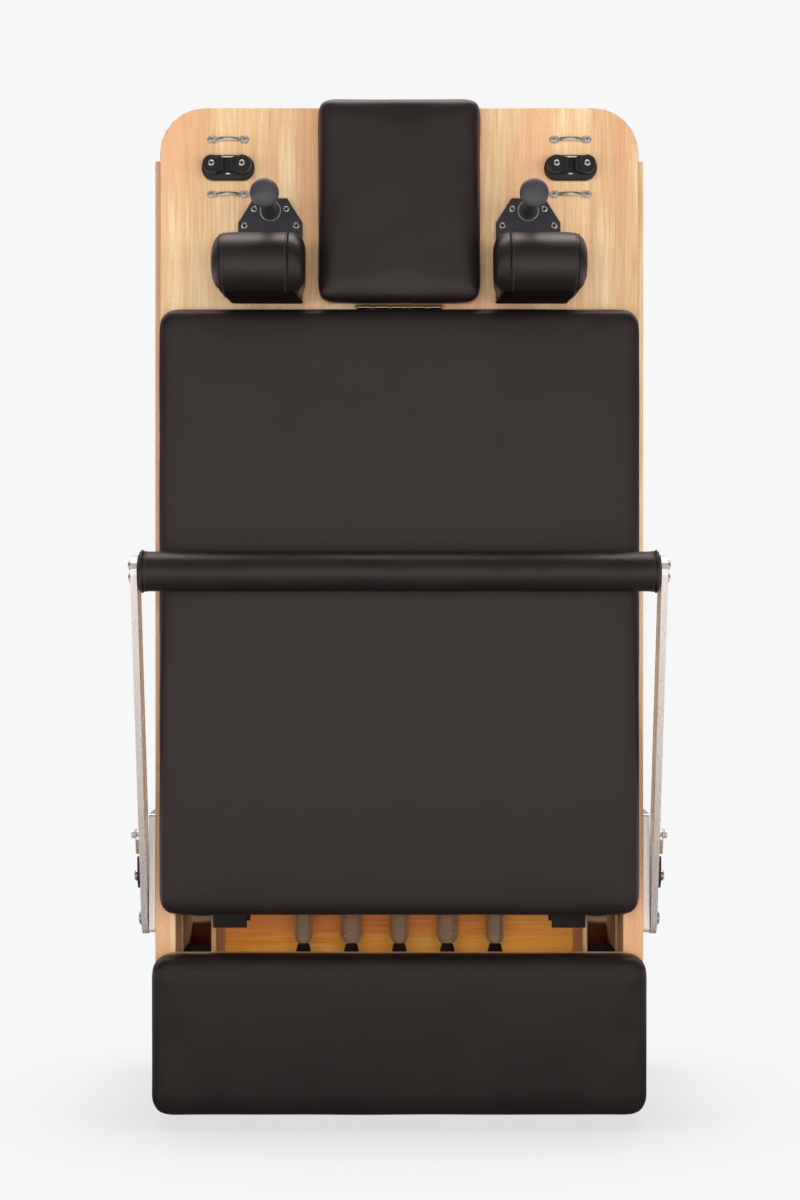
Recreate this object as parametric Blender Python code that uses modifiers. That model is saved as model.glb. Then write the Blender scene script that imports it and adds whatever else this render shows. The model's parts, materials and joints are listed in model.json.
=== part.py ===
"""Folding pilates reformer, folded and stood on its foot end.

Metres, +Z up. The origin is on the floor, at the middle of the folded object's box.
The carriage faces -Y and slides along +Z. The head half hangs behind the foot half and
swings up about the fold axis, which runs along X at the top of both frames.
Run it with: blender --background --python part.py
"""

import math

import bmesh
import bpy
import numpy as np

# Clearances
TOUCH = 0.0003  # between two pieces that rest on each other
RUNNING_FIT = 0.0004  # round a pin that something turns on
SUNK = 0.003  # how deep a joined pin or head starts inside its carrier

# Wooden frames: both halves are alike
FRAME_WIDTH = 0.620
RAIL_THICKNESS = 0.026
RAIL_DEPTH = 0.140
RAIL_LENGTH = 1.2035
END_GAP = 0.0005  # from a rail's end to the fold axis, so opened rails meet with a hair's gap
FOLD_GAP = 0.056  # between the undersides of the two folded frames
END_BOARD_THICKNESS = 0.026
LEDGE_WIDTH = 0.045
LEDGE_THICKNESS = 0.025
TRACK_DROP = 0.065  # from the rails' upper edge down to the running surface
TRACK_STRIP_WIDTH = 0.037
TRACK_STRIP_INSET = 0.003  # dark line between the strip and the rail
TRACK_STRIP_THICKNESS = 0.002
PANEL_THICKNESS = 0.012
PANEL_EDGE_GAP = 0.009  # between the bottom panel and the ledges
BATTEN_WIDTH = 0.040
BATTEN_THICKNESS = 0.014
BATTEN_HEIGHTS = (0.42, 0.80)  # above the floor, as stood up
FOLD_BEAM_WIDTH = 0.055
FOLD_BEAM_DEPTH = 0.040
RUNNER_WIDTH = 0.045
RUNNER_FROM_FOLD = 0.155
STANDING_HEIGHT = 0.040  # from the floor to the rails, when the reformer lies open

# Rubber corner feet
SOLE_THICKNESS = 0.016
FOOT_WIDTH = 0.046
FOOT_SIDE_INSET = 0.010  # in from the rail's outer face
FOOT_FRONT_INSET = 0.034  # back from the rail's front edge, out of sight behind the platform
FOOT_EDGE = 0.004
FOOT_BLOCK_LENGTH = 0.060
FOOT_BLOCK_EDGE = 0.008
FOOT_SIDE_GAP = 0.004  # between the nested feet of the two halves

# Fold hinge
HINGE_LEAF_THICKNESS = 0.003
HINGE_LEAF_WIDTH = 0.045
HINGE_KNUCKLE_RADIUS = 0.008
HINGE_PIN_RADIUS = 0.004
HINGE_EAR_WIDTH = 0.050
HINGE_EAR_SPACING = 0.225  # from the middle ear to the outer ones

# Pulley posts, part of the head end board
POST_WIDTH = 0.040
POST_HEIGHT = 0.110
POST_SPACING = 0.440
POST_SLOT_WIDTH = 0.0136
PULLEY_RADIUS = 0.018
PULLEY_WIDTH = 0.0126
PULLEY_GROOVE_DEPTH = 0.005
PULLEY_PIN_RADIUS = 0.003
PULLEY_FROM_TIP = 0.028

# Platform at the foot end
PLATFORM_HEIGHT = 0.200
PLATFORM_THICKNESS = 0.025
PLATFORM_CORNER = 0.027
PAD_THICKNESS = 0.040

# Spring bar and springs
SPRING_POSITIONS = (-0.124, -0.062, 0.0, 0.062, 0.124)
SPRING_RADII = (0.0130, 0.0155, 0.0130, 0.0155, 0.0130)
SPRING_WIRE = 0.0026
SPRING_CURLS = 10
SPRING_POINTS_PER_CURL = 8
SPRING_PITCH = 0.0036
SPRING_TAPER_CURLS = 4
SPRING_NECK_RADIUS = 0.0062
SPRING_TOP = 0.700
SPRING_BAR_BOTTOM = 0.172
SPRING_BAR_HEIGHT = 0.033
SPRING_BAR_DEPTH = 0.024
SPRING_CUP_HEIGHT = 0.012
SPRING_CUP_RADIUS = 0.0105
SPRING_CUP_TOP_RADIUS = 0.0075

# Carriage
BOARD_WIDTH = 0.602
BOARD_THICKNESS = 0.018
BOARD_BOTTOM = 0.270
BOARD_LENGTH = 1.0115
BOARD_CORNER = 0.057
BOARD_CLEARANCE = 0.008  # from the board to the rails' upper edges
CARRIAGE_PAD_WIDTH = 0.600
CARRIAGE_PAD_LENGTH = 0.755
CARRIAGE_PAD_CORNER = 0.027
ANCHOR_BATTEN_WIDTH = 0.320
ANCHOR_BATTEN_HEIGHT = 0.040
ANCHOR_BATTEN_DEPTH = 0.080
BEAM_WIDTH = 0.043
BEAM_DEPTH = 0.064
BEAM_WALL = 0.004
BEAM_OVERHANG = 0.023  # below the board's lower edge
BEAM_LENGTH = 0.960
BEAM_TO_LEDGE = 0.003
WHEEL_RADIUS = 0.024
WHEEL_WIDTH = 0.022
WHEEL_HUB_RADIUS = 0.010
WHEEL_AXLE_RADIUS = 0.004
AXLE_HEAD_RADIUS = 0.0065
AXLE_HEAD_REACH = 0.0035  # out from the wheel
AXLE_COLLAR_RADIUS = 0.008
WHEEL_SIDE_GAP = 0.009  # from the beam to the wheel
WHEEL_END_DISTANCE = 0.085  # from each end of a beam to its wheel

# Headrest
HEADREST_WIDTH = 0.200
HEADREST_LENGTH = 0.252
HEADREST_BOARD = 0.012
HEADREST_BOARD_INSET = 0.004
HEADREST_CORNER = 0.019
HEADREST_GAP = 0.0086  # between the carriage pad and the headrest
BUTT_KNUCKLE_RADIUS = 0.0035
BUTT_HINGE_LENGTH = 0.105
BUTT_KNUCKLES = 5
BUTT_GROOVE_DEPTH = 0.0005
BUTT_GROOVE_WIDTH = 0.0008
BUTT_LEAF_LENGTH = 0.113
BUTT_LEAF_THICKNESS = 0.0015
BUTT_LEAF_EDGE = 0.0006  # from the carriage pad

# Shoulder rests
REST_X = 0.162
REST_PLATE_WIDTH = 0.081
REST_PLATE_TOP_WIDTH = 0.042
REST_PLATE_THICKNESS = 0.004
REST_PLATE_BOTTOM = 1.040
REST_PLATE_TOP = 1.170
REST_CHAMFER_HEIGHT = 0.030
REST_UPRIGHT_Z = 1.1063
REST_UPRIGHT_WIDTH = 0.070
REST_UPRIGHT_HEIGHT = 0.092
REST_UPRIGHT_CORNER = 0.020
BOLSTER_OFFSET = 0.008  # outward from the plate's middle
BOLSTER_WIDTH = 0.115
BOLSTER_BASE_WIDTH = 0.091
BOLSTER_THICKNESS = 0.066
BOLSTER_HEIGHT = 0.118
BOLSTER_CORNER = 0.016
PEG_Z = 1.153
PEG_HEIGHT = 0.133  # off the carriage board
PEG_RING_RADIUS = 0.0135
PEG_RING_HEIGHT = 0.004
PEG_FOOT_RADIUS = 0.012
PEG_NECK_RADIUS = 0.007
PEG_HEAD_RADIUS = 0.0172
PEG_HEAD_HEIGHT = 0.012

# Rope cleats and eye straps
CLEAT_X = 0.215
CLEAT_Z = 1.206
CLEAT_LENGTH = 0.066
CLEAT_DEPTH = 0.029
CLEAT_CORNER = 0.012
CLEAT_BASE_HEIGHT = 0.009
CAM_SPACING = 0.038
CAM_HEIGHT = 0.016
CAM_RADIUS = 0.0105
CAM_LOBE = 0.0045
CAM_STEPS = 36
CAM_GRIP = 90  # degrees of the rim that are toothed
CAM_TOOTH_DEPTH = 0.0012
CAM_PIN_RADIUS = 0.003
CAM_HEAD_RADIUS = 0.0058
CAM_HEAD_HEIGHT = 0.003
STRAP_Z_OFFSETS = (0.035, -0.034)
STRAP_LENGTH = 0.052
STRAP_LUG_WIDTH = 0.010
STRAP_ARCH_WIDTH = 0.005
STRAP_THICKNESS = 0.002
STRAP_RISE = 0.011
STRAP_ARCH = 0.030

# Footbar
PIVOT_Z = 0.256
PIVOT_BEHIND_RAIL = 0.019  # from the rails' upper edge
BAR_Z = 0.697
BAR_BEFORE_RAIL = 0.096
BAR_RADIUS = 0.0245
# The cover's sewn end, from its disc over the seam's ridge: radius, and how far in from the end
BAR_END = (
    (0.0155, 0.0),
    (0.0210, 0.0006),
    (0.0250, 0.0020),
    (0.0264, 0.0034),
    (0.0256, 0.0050),
    (0.0246, 0.0066),
)
ARM_WIDTH = 0.040
ARM_THICKNESS = 0.008
BRACKET_THICKNESS = 0.008
BRACKET_BOTTOM = 0.239
BRACKET_HEIGHT = 0.151
BRACKET_DEPTH = 0.080
BRACKET_FRONT_INSET = 0.004
BRACKET_EDGE = 0.004
BRACKET_CORNER = 0.020
BRACKET_HOLE_RADIUS = 0.0045
BRACKET_HOLE_INSET = 0.018  # from the bracket's back edge
ARM_SIDE_GAP = 0.0012
PIVOT_PIN_RADIUS = 0.006
PIVOT_HEAD_RADIUS = 0.009
PIVOT_HEAD_HEIGHT = 0.005
BOLT_RADIUS = 0.0065
BOLT_HEIGHT = 0.0045
BAR_BOLT_SPACING = 0.015
STUD_DISTANCE = 0.114  # along the arm, from its pivot
STUD_RADIUS = 0.003
STUD_LENGTH = 0.011
STUD_HEAD_RADIUS = 0.0055
STUD_HEAD_HEIGHT = 0.003
PAWL_DISTANCE = 0.058
PAWL_THICKNESS = 0.0045
PAWL_BOSS_RADIUS = 0.0095
PAWL_NOSE_REACH = 0.022
PAWL_NOSE_RADIUS = 0.0035
PAWL_TAIL_REACH = 0.013
PAWL_TAIL_RADIUS = 0.004
PAWL_PIN_RADIUS = 0.004
PAWL_HEAD_RADIUS = 0.0068
PAWL_HEAD_HEIGHT = 0.004

# Worked out from the values above
FRONT_REACH = BOARD_CLEARANCE + BOARD_THICKNESS + PEG_HEIGHT
FULL_DEPTH = FRONT_REACH + 2 * RAIL_DEPTH + FOLD_GAP + POST_HEIGHT
RAIL_FRONT = -FULL_DEPTH / 2 + FRONT_REACH
RAIL_BACK = RAIL_FRONT + RAIL_DEPTH
FOLD_Y = RAIL_BACK + FOLD_GAP / 2
FRAME_BOTTOM = SOLE_THICKNESS
FRAME_TOP = FRAME_BOTTOM + RAIL_LENGTH
FOLD_Z = FRAME_TOP + END_GAP
RAIL_OUTER = FRAME_WIDTH / 2
RAIL_INNER = RAIL_OUTER - RAIL_THICKNESS
LEDGE_INNER = RAIL_INNER - LEDGE_WIDTH
TRACK_FACE = RAIL_FRONT + TRACK_DROP
LEDGE_BOTTOM = FRAME_BOTTOM + END_BOARD_THICKNESS + TOUCH
BOARD_BACK = RAIL_FRONT - BOARD_CLEARANCE
BOARD_FRONT = BOARD_BACK - BOARD_THICKNESS
BOARD_TOP = BOARD_BOTTOM + BOARD_LENGTH
PAD_BOTTOM = BOARD_BOTTOM + 0.0004
PAD_TOP = PAD_BOTTOM + CARRIAGE_PAD_LENGTH
WHEEL_Y = TRACK_FACE - TOUCH - WHEEL_RADIUS
SPRING_BAR_TOP = SPRING_BAR_BOTTOM + SPRING_BAR_HEIGHT
SPRING_Y = TRACK_FACE - TOUCH - SPRING_BAR_DEPTH / 2
SPRING_BOTTOM = SPRING_BAR_TOP + SPRING_CUP_HEIGHT + TOUCH
HEADREST_BOTTOM = PAD_TOP + HEADREST_GAP
BUTT_Y = BOARD_FRONT - TOUCH - BUTT_KNUCKLE_RADIUS
BUTT_Z = PAD_TOP + HEADREST_GAP / 2
BRACKET_INNER = RAIL_OUTER + TOUCH
BRACKET_OUTER = BRACKET_INNER + BRACKET_THICKNESS
ARM_INNER = BRACKET_OUTER + ARM_SIDE_GAP
ARM_OUTER = ARM_INNER + ARM_THICKNESS
PIVOT_Y = RAIL_FRONT + PIVOT_BEHIND_RAIL
BAR_Y = RAIL_FRONT - BAR_BEFORE_RAIL
ARM_LENGTH = math.hypot(BAR_Y - PIVOT_Y, BAR_Z - PIVOT_Z)
ARM_ALONG = ((BAR_Y - PIVOT_Y) / ARM_LENGTH, (BAR_Z - PIVOT_Z) / ARM_LENGTH)
PULLEY_Y = FOLD_Y + FOLD_GAP / 2 + RAIL_DEPTH + POST_HEIGHT - PULLEY_FROM_TIP
PULLEY_Z = FRAME_BOTTOM + END_BOARD_THICKNESS / 2

ROUND_STEPS = 20
SIDES = (("left", -1), ("right", 1))


# Scene and materials


def clear_scene():
    for obj in list(bpy.data.objects):
        bpy.data.objects.remove(obj, do_unlink=True)


def new_collection(name):
    collection = bpy.data.collections.new(name)
    bpy.context.scene.collection.children.link(collection)
    return collection


def linear(value):
    return value / 12.92 if value <= 0.04045 else ((value + 0.055) / 1.055) ** 2.4


def new_material(name, colour, roughness, metallic=0.0):
    """A Principled material whose colour is an sRGB hex value."""
    channels = [linear(int(colour[i : i + 2], 16) / 255) for i in (0, 2, 4)]
    material = bpy.data.materials.new(name)
    material.use_nodes = True
    shader = material.node_tree.nodes["Principled BSDF"]
    shader.inputs["Base Color"].default_value = (*channels, 1)
    shader.inputs["Roughness"].default_value = roughness
    shader.inputs["Metallic"].default_value = metallic
    material.diffuse_color = (*channels, 1)
    return material


# Placing and joining


def empty_at(name, place, parent=None):
    """The parent of everything on one moving body, standing on its joint's axis."""
    empty = bpy.data.objects.new(name, None)
    parts.objects.link(empty)
    hang(empty, place, parent)
    return empty


def hang(obj, place, parent):
    """Puts an object at a world position, under an unrotated parent."""
    obj.parent = parent
    base = world_place(parent)
    obj.location = [place[i] - base[i] for i in range(3)]


def world_place(obj):
    place = [0.0, 0.0, 0.0]
    while obj is not None:
        place = [place[i] + obj.location[i] for i in range(3)]
        obj = obj.parent
    return place


def tidy_mesh(mesh):
    """Welds a mesh, merges its flat faces and shades its round ones smooth."""
    work = bmesh.new()
    work.from_mesh(mesh)
    bmesh.ops.remove_doubles(work, verts=work.verts[:], dist=1e-5)
    bmesh.ops.dissolve_limit(
        work, angle_limit=0.002, verts=work.verts[:], edges=work.edges[:]
    )
    bmesh.ops.recalc_face_normals(work, faces=work.faces[:])
    work.to_mesh(mesh)
    work.free()
    mesh.shade_smooth()
    mesh.set_sharp_from_angle(angle=math.radians(35))


def add_mesh(name, mesh, place, rotation, material, parent):
    obj = bpy.data.objects.new(name, mesh)
    parts.objects.link(obj)
    obj.rotation_euler = rotation
    hang(obj, place, parent)
    mesh.materials.clear()
    mesh.materials.append(material)
    return obj


def mesh_of(obj):
    """The evaluated mesh of a curve or of a modified object, which is then removed."""
    bpy.context.view_layer.update()
    graph = bpy.context.evaluated_depsgraph_get()
    mesh = bpy.data.meshes.new_from_object(obj.evaluated_get(graph))
    bpy.data.objects.remove(obj, do_unlink=True)
    tidy_mesh(mesh)
    return mesh


def soften(obj, width, segments=2):
    """Rounds an object's sharp edges."""
    bevel = obj.modifiers.new("Rounded edges", "BEVEL")
    bevel.width = width
    bevel.segments = segments
    bevel.limit_method = "ANGLE"
    bevel.angle_limit = math.radians(40)
    return obj


def put_away(obj):
    """Keeps a cutter or a joined piece in the file, but out of the renders."""
    for collection in list(obj.users_collection):
        collection.objects.unlink(obj)
    cutters.objects.link(obj)
    obj.hide_render = True
    obj.display_type = "WIRE"


def fuse(base, *others):
    """Joins overlapping pieces into the base as one closed body."""
    for number, other in enumerate(others, 1):
        change = base.modifiers.new(f"Union {number}", "BOOLEAN")
        change.operation = "UNION"
        change.solver = "EXACT"
        change.object = other
        put_away(other)
    return base


# Shapes


def box(name, low, high, material, parent=None, edge=0.0):
    size = [high[i] - low[i] for i in range(3)]
    centre = [(high[i] + low[i]) / 2 for i in range(3)]
    work = bmesh.new()
    bmesh.ops.create_cube(work, size=1.0)
    bmesh.ops.scale(work, vec=size, verts=work.verts[:])
    mesh = bpy.data.meshes.new(name)
    work.to_mesh(mesh)
    work.free()
    obj = add_mesh(name, mesh, centre, (0, 0, 0), material, parent)
    return soften(obj, edge) if edge else obj


def side_box(name, side, near, far, y_range, z_range, material, parent=None, edge=0.0):
    """A box on the left or the right, from near to far out from the middle."""
    x_low, x_high = sorted((side * near, side * far))
    low = (x_low, y_range[0], z_range[0])
    high = (x_high, y_range[1], z_range[1])
    return box(name, low, high, material, parent, edge)


def flat_piece(name, outlines, normal, low, high, material, parent=None, axis=(0, 0)):
    """A flat outline with its holes, from low to high along its normal.

    An outline's points are world coordinates: (y, z) for normal X, (x, z) for normal Y
    and (x, y) for normal Z. The object's origin is at axis, in the same coordinates.
    """
    curve = bpy.data.curves.new(name, "CURVE")
    curve.dimensions = "2D"
    curve.fill_mode = "BOTH"
    curve.extrude = (high - low) / 2
    for outline in outlines:
        spline = curve.splines.new("POLY")
        spline.points.add(len(outline) - 1)
        spline.use_cyclic_u = True
        for point, (across, up) in zip(spline.points, outline):
            point.co = (across - axis[0], up - axis[1], 0, 1)
    drawn = bpy.data.objects.new(name, curve)
    parts.objects.link(drawn)
    mesh = mesh_of(drawn)
    middle = (high + low) / 2
    if normal == "X":
        place = (middle, axis[0], axis[1])
        rotation = (math.pi / 2, 0, math.pi / 2)
    elif normal == "Y":
        place = (axis[0], middle, axis[1])
        rotation = (math.pi / 2, 0, 0)
    else:
        place = (axis[0], axis[1], middle)
        rotation = (0, 0, 0)
    return add_mesh(name, mesh, place, rotation, material, parent)


TURNS = {
    "+X": (0, math.pi / 2, 0),
    "-X": (0, -math.pi / 2, 0),
    "+Y": (-math.pi / 2, 0, 0),
    "-Y": (math.pi / 2, 0, 0),
    "+Z": (0, 0, 0),
}


def turned(name, profile, place, direction, material, parent=None, steps=ROUND_STEPS):
    """A turned piece: (radius, height) pairs down its outer side, heights along direction.

    A profile that starts and ends on the axis is solid, and any other is a ring.
    """
    mesh = bpy.data.meshes.new(name)
    solid = profile[0][0] == 0 and profile[-1][0] == 0
    count = len(profile)
    edges = [(i, (i + 1) % count) for i in range(count - 1 if solid else count)]
    mesh.from_pydata([(radius, 0, height) for radius, height in profile], edges, [])
    drawn = bpy.data.objects.new(name, mesh)
    parts.objects.link(drawn)
    screw = drawn.modifiers.new("Turned", "SCREW")
    screw.steps = steps
    screw.render_steps = steps
    screw.use_merge_vertices = True
    screw.merge_threshold = 0.0001
    made = mesh_of(drawn)
    return add_mesh(name, made, place, TURNS[direction], material, parent)


def rod(name, place, direction, radius, length, material, parent=None, steps=ROUND_STEPS):
    profile = [(0, length), (radius, length), (radius, 0), (0, 0)]
    return turned(name, profile, place, direction, material, parent, steps)


def domed_bolt(name, place, direction, radius, height, material):
    """A low round bolt head on a shank that is sunk into what it holds."""
    profile = [(0, height)]
    for step in range(1, 4):
        turn = math.pi / 2 * step / 3
        profile.append((radius * math.sin(turn), height * math.cos(turn)))
    profile += [(radius * 0.55, 0), (radius * 0.55, -SUNK), (0, -SUNK)]
    return turned(name, profile, place, direction, material, steps=10)


def headed_pin(head_radius, head_height, radius, length):
    """The profile of a pin with a low round head."""
    return [
        (0, length + head_height),
        (head_radius * 0.64, length + head_height * 0.86),
        (head_radius * 0.95, length + head_height * 0.40),
        (head_radius, length),
        (radius, length),
        (radius, 0),
        (0, 0),
    ]


def arc(centre, radius, start, end, steps):
    """Points on an arc, with its angles in degrees."""
    turns = [math.radians(start + (end - start) * i / steps) for i in range(steps + 1)]
    return [(centre[0] + radius * math.cos(t), centre[1] + radius * math.sin(t)) for t in turns]


def rounded_rectangle(x_range, z_range, radii, steps=6):
    """An outline whose corners start at the lower left and go round anticlockwise."""
    left, right = x_range
    bottom, top = z_range
    spots = (
        (left, bottom, 1, 1, 180),
        (right, bottom, -1, 1, 270),
        (right, top, -1, -1, 0),
        (left, top, 1, -1, 90),
    )
    points = []
    for (x, z, inward_x, inward_z, start), radius in zip(spots, radii):
        centre = (x + inward_x * radius, z + inward_z * radius)
        points += arc(centre, radius, start, start + 90, steps)
    return points


def bar_outline(start, end, half_width, steps=8):
    """The outline of a flat bar with round ends, centred on two points."""
    heading = math.degrees(math.atan2(end[1] - start[1], end[0] - start[0]))
    points = arc(end, half_width, heading - 90, heading + 90, steps)
    return points + arc(start, half_width, heading + 90, heading + 270, steps)


def circle(centre, radius, steps=16):
    return arc(centre, radius, 0, 360 - 360 / steps, steps - 1)


def mirrored(points, side):
    """The outline on its own side of the middle, still anticlockwise."""
    if side > 0:
        return points
    return [(-across, up) for across, up in reversed(points)]


def loft(name, rings, place, material, parent=None):
    """A closed form through rings of equally many points, from its back to its front."""
    work = bmesh.new()
    loops = [[work.verts.new(point) for point in ring] for ring in rings]
    count = len(rings[0])
    for lower, upper in zip(loops, loops[1:]):
        for i in range(count):
            after = (i + 1) % count
            work.faces.new((lower[i], lower[after], upper[after], upper[i]))
    work.faces.new(list(reversed(loops[0])))
    work.faces.new(loops[-1])
    bmesh.ops.recalc_face_normals(work, faces=work.faces[:])
    mesh = bpy.data.meshes.new(name)
    work.to_mesh(mesh)
    work.free()
    mesh.shade_smooth()
    return add_mesh(name, mesh, place, (0, 0, 0), material, parent)


def cushion(name, centre, size, corner, crown, place_y, material, parent, pull_in=0.0016):
    """A padded cushion on a flat back, facing -Y, with its thickness in size[2].

    Its rings go from the back, round drawn-in sides and a soft shoulder, to a low crown.
    """
    half_width, half_height, thickness = size[0] / 2, size[1] / 2, size[2]
    shoulder = min(0.016, thickness * 0.4)
    body = thickness - crown
    # Each ring is how far in from the outline, and how far out from the back
    levels = [
        (0.0030, 0.0),
        (0.0010, 0.0030),
        (0.0, body * 0.45),
        (0.0012, body - shoulder),
        (shoulder * 0.22, body - shoulder * 0.45),
        (shoulder * 0.62, body - shoulder * 0.12),
        (shoulder * 1.30, body),
        (shoulder * 2.60, body + crown * 0.62),
        (min(half_width, half_height) * 0.60, thickness),
    ]
    rings = []
    for inset, height in levels:
        across, up = half_width - inset, half_height - inset
        radius = max(min(corner - inset * 0.5, across, up) * 0.98, 0.002)
        outline = rounded_rectangle((-across, across), (-up, up), [radius] * 4, 4)
        ring = []
        for x, z in with_edge_points(outline, 5):
            along_z = abs(x) / across > abs(z) / up
            draw = pull_in * (1 - (z / up if along_z else x / across) ** 2)
            ring.append((x * (1 - draw / across), -height, z * (1 - draw / up)))
        rings.append(ring)
    return loft(name, rings, (centre[0], place_y, centre[1]), material, parent)


def with_edge_points(outline, corner_points, between=3):
    """Adds points along the four straight edges of a rounded rectangle's outline."""
    points = []
    for i, point in enumerate(outline):
        points.append(point)
        if (i + 1) % corner_points:
            continue
        after = outline[(i + 1) % len(outline)]
        for number in range(1, between + 1):
            share = number / (between + 1)
            points.append(tuple(point[k] + (after[k] - point[k]) * share for k in (0, 1)))
    return points


# Frames


def head_y(value):
    """Where a point of the foot half lies on the head half, folded behind it."""
    return 2 * FOLD_Y - value


def y_pair(half, near, far):
    """A range of Y on one half, given as for the foot half."""
    if half == "foot":
        return near, far
    return head_y(far), head_y(near)


def make_rail(half, name, side, parent):
    y_range = y_pair(half, RAIL_FRONT, RAIL_BACK)
    z_range = (FRAME_BOTTOM, FRAME_TOP)
    rail = side_box(
        f"{name}_{half}_rail", side, RAIL_INNER, RAIL_OUTER, y_range, z_range, wood, parent
    )
    return soften(rail, 0.002)


def make_track(half, name, side, parent):
    """A wooden ledge faced with a steel running strip, as one stepped section."""
    wood_face = TRACK_FACE + TRACK_STRIP_THICKNESS
    ledge_back = wood_face + LEDGE_THICKNESS
    outer = RAIL_INNER - TOUCH
    strip_outer = RAIL_INNER - TRACK_STRIP_INSET
    strip_inner = strip_outer - TRACK_STRIP_WIDTH
    section = [
        (LEDGE_INNER, wood_face),
        (strip_inner, wood_face),
        (strip_inner, TRACK_FACE),
        (strip_outer, TRACK_FACE),
        (strip_outer, wood_face),
        (outer, wood_face),
        (outer, ledge_back),
        (LEDGE_INNER, ledge_back),
    ]
    section = [(side * x, y if half == "foot" else head_y(y)) for x, y in section]
    return flat_piece(
        f"{name}_{half}_track", [section], "Z", LEDGE_BOTTOM, FRAME_TOP, wood, parent
    )


def make_bottom_panel(half, parent):
    """The bottom panel with its glued cross battens and the beam at the fold."""
    back = RAIL_BACK - BATTEN_THICKNESS
    front = back - PANEL_THICKNESS
    half_width = LEDGE_INNER - PANEL_EDGE_GAP
    y_low, y_high = y_pair(half, front, back)
    panel = box(
        f"{half}_bottom_panel",
        (-half_width, y_low, LEDGE_BOTTOM),
        (half_width, y_high, FRAME_TOP - FOLD_BEAM_WIDTH / 2),
        panel_wood,
        parent,
    )
    reach = RAIL_INNER - TOUCH
    overlap = 0.001
    joined = []
    for number, height in enumerate(BATTEN_HEIGHTS, 1):
        y_low, y_high = y_pair(half, back - overlap, RAIL_BACK)
        low = (-reach, y_low, height)
        high = (reach, y_high, height + BATTEN_WIDTH)
        joined.append(box(f"{half} batten {number}", low, high, panel_wood, parent))
    y_low, y_high = y_pair(half, RAIL_BACK - FOLD_BEAM_DEPTH, RAIL_BACK)
    low = (-reach, y_low, FRAME_TOP - FOLD_BEAM_WIDTH)
    joined.append(box(f"{half} fold beam", low, (reach, y_high, FRAME_TOP), panel_wood, parent))
    if half == "foot":
        runner_top = FRAME_TOP - RUNNER_FROM_FOLD
        low = (-reach, back - overlap, runner_top - RUNNER_WIDTH)
        high = (reach, RAIL_BACK + STANDING_HEIGHT, runner_top)
        runner = box("Middle floor runner", low, high, panel_wood, parent)
        joined.append(soften(runner, 0.004))
    return fuse(panel, *joined)


def make_foot_end_board():
    reach = RAIL_INNER - TOUCH
    return box(
        "foot_end_board",
        (-reach, RAIL_FRONT + TOUCH, FRAME_BOTTOM),
        (reach, RAIL_BACK, FRAME_BOTTOM + END_BOARD_THICKNESS),
        wood,
        edge=0.002,
    )


def make_head_end_board(parent):
    """The head end's cross board, whose two slotted posts carry the rope pulleys."""
    reach = RAIL_INNER - TOUCH
    near = head_y(RAIL_BACK)
    far = head_y(RAIL_FRONT)
    tip = far + POST_HEIGHT
    half_post = POST_WIDTH / 2
    outline = [(-reach, near), (reach, near), (reach, far)]
    for middle in (POST_SPACING / 2, -POST_SPACING / 2):
        right = middle + half_post
        left = middle - half_post
        rounding = half_post * 0.6
        outline.append((right, far))
        outline += arc((right - rounding, tip - rounding), rounding, 0, 90, 5)
        outline += arc((left + rounding, tip - rounding), rounding, 90, 180, 5)
        outline.append((left, far))
    outline.append((-reach, far))
    slots = []
    slot_half = PULLEY_RADIUS + 0.003
    for middle in (POST_SPACING / 2, -POST_SPACING / 2):
        x_range = (middle - POST_SLOT_WIDTH / 2, middle + POST_SLOT_WIDTH / 2)
        y_range = (PULLEY_Y - slot_half, PULLEY_Y + slot_half)
        slots.append(rounded_rectangle(x_range, y_range, [0.003] * 4, 3))
    board = flat_piece(
        "head_end_board",
        [outline, *slots],
        "Z",
        FRAME_BOTTOM,
        FRAME_BOTTOM + END_BOARD_THICKNESS,
        wood,
        parent,
    )
    pins = []
    for name, side in SIDES:
        start = side * POST_SPACING / 2 - half_post + 0.004
        pins.append(
            rod(
                f"{name} pulley pin",
                (start, PULLEY_Y, PULLEY_Z),
                "+X",
                PULLEY_PIN_RADIUS,
                POST_WIDTH - 0.008,
                steel,
                parent,
                steps=12,
            )
        )
    return fuse(board, *pins)


def make_pulley(name, side, parent):
    """A grooved sheave that turns on the pin across its post's slot."""
    half_width = PULLEY_WIDTH / 2
    lip = half_width * 0.35
    bore = PULLEY_PIN_RADIUS + RUNNING_FIT
    groove = PULLEY_RADIUS - PULLEY_GROOVE_DEPTH
    profile = [
        (PULLEY_RADIUS, half_width),
        (PULLEY_RADIUS, half_width - lip),
        (groove, lip * 0.7),
        (groove, -lip * 0.7),
        (PULLEY_RADIUS, lip - half_width),
        (PULLEY_RADIUS, -half_width),
        (bore, -half_width),
        (bore, half_width),
    ]
    place = (side * POST_SPACING / 2, PULLEY_Y, PULLEY_Z)
    return turned(f"{name}_pulley", profile, place, "+X", black_plastic, parent, steps=20)


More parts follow.
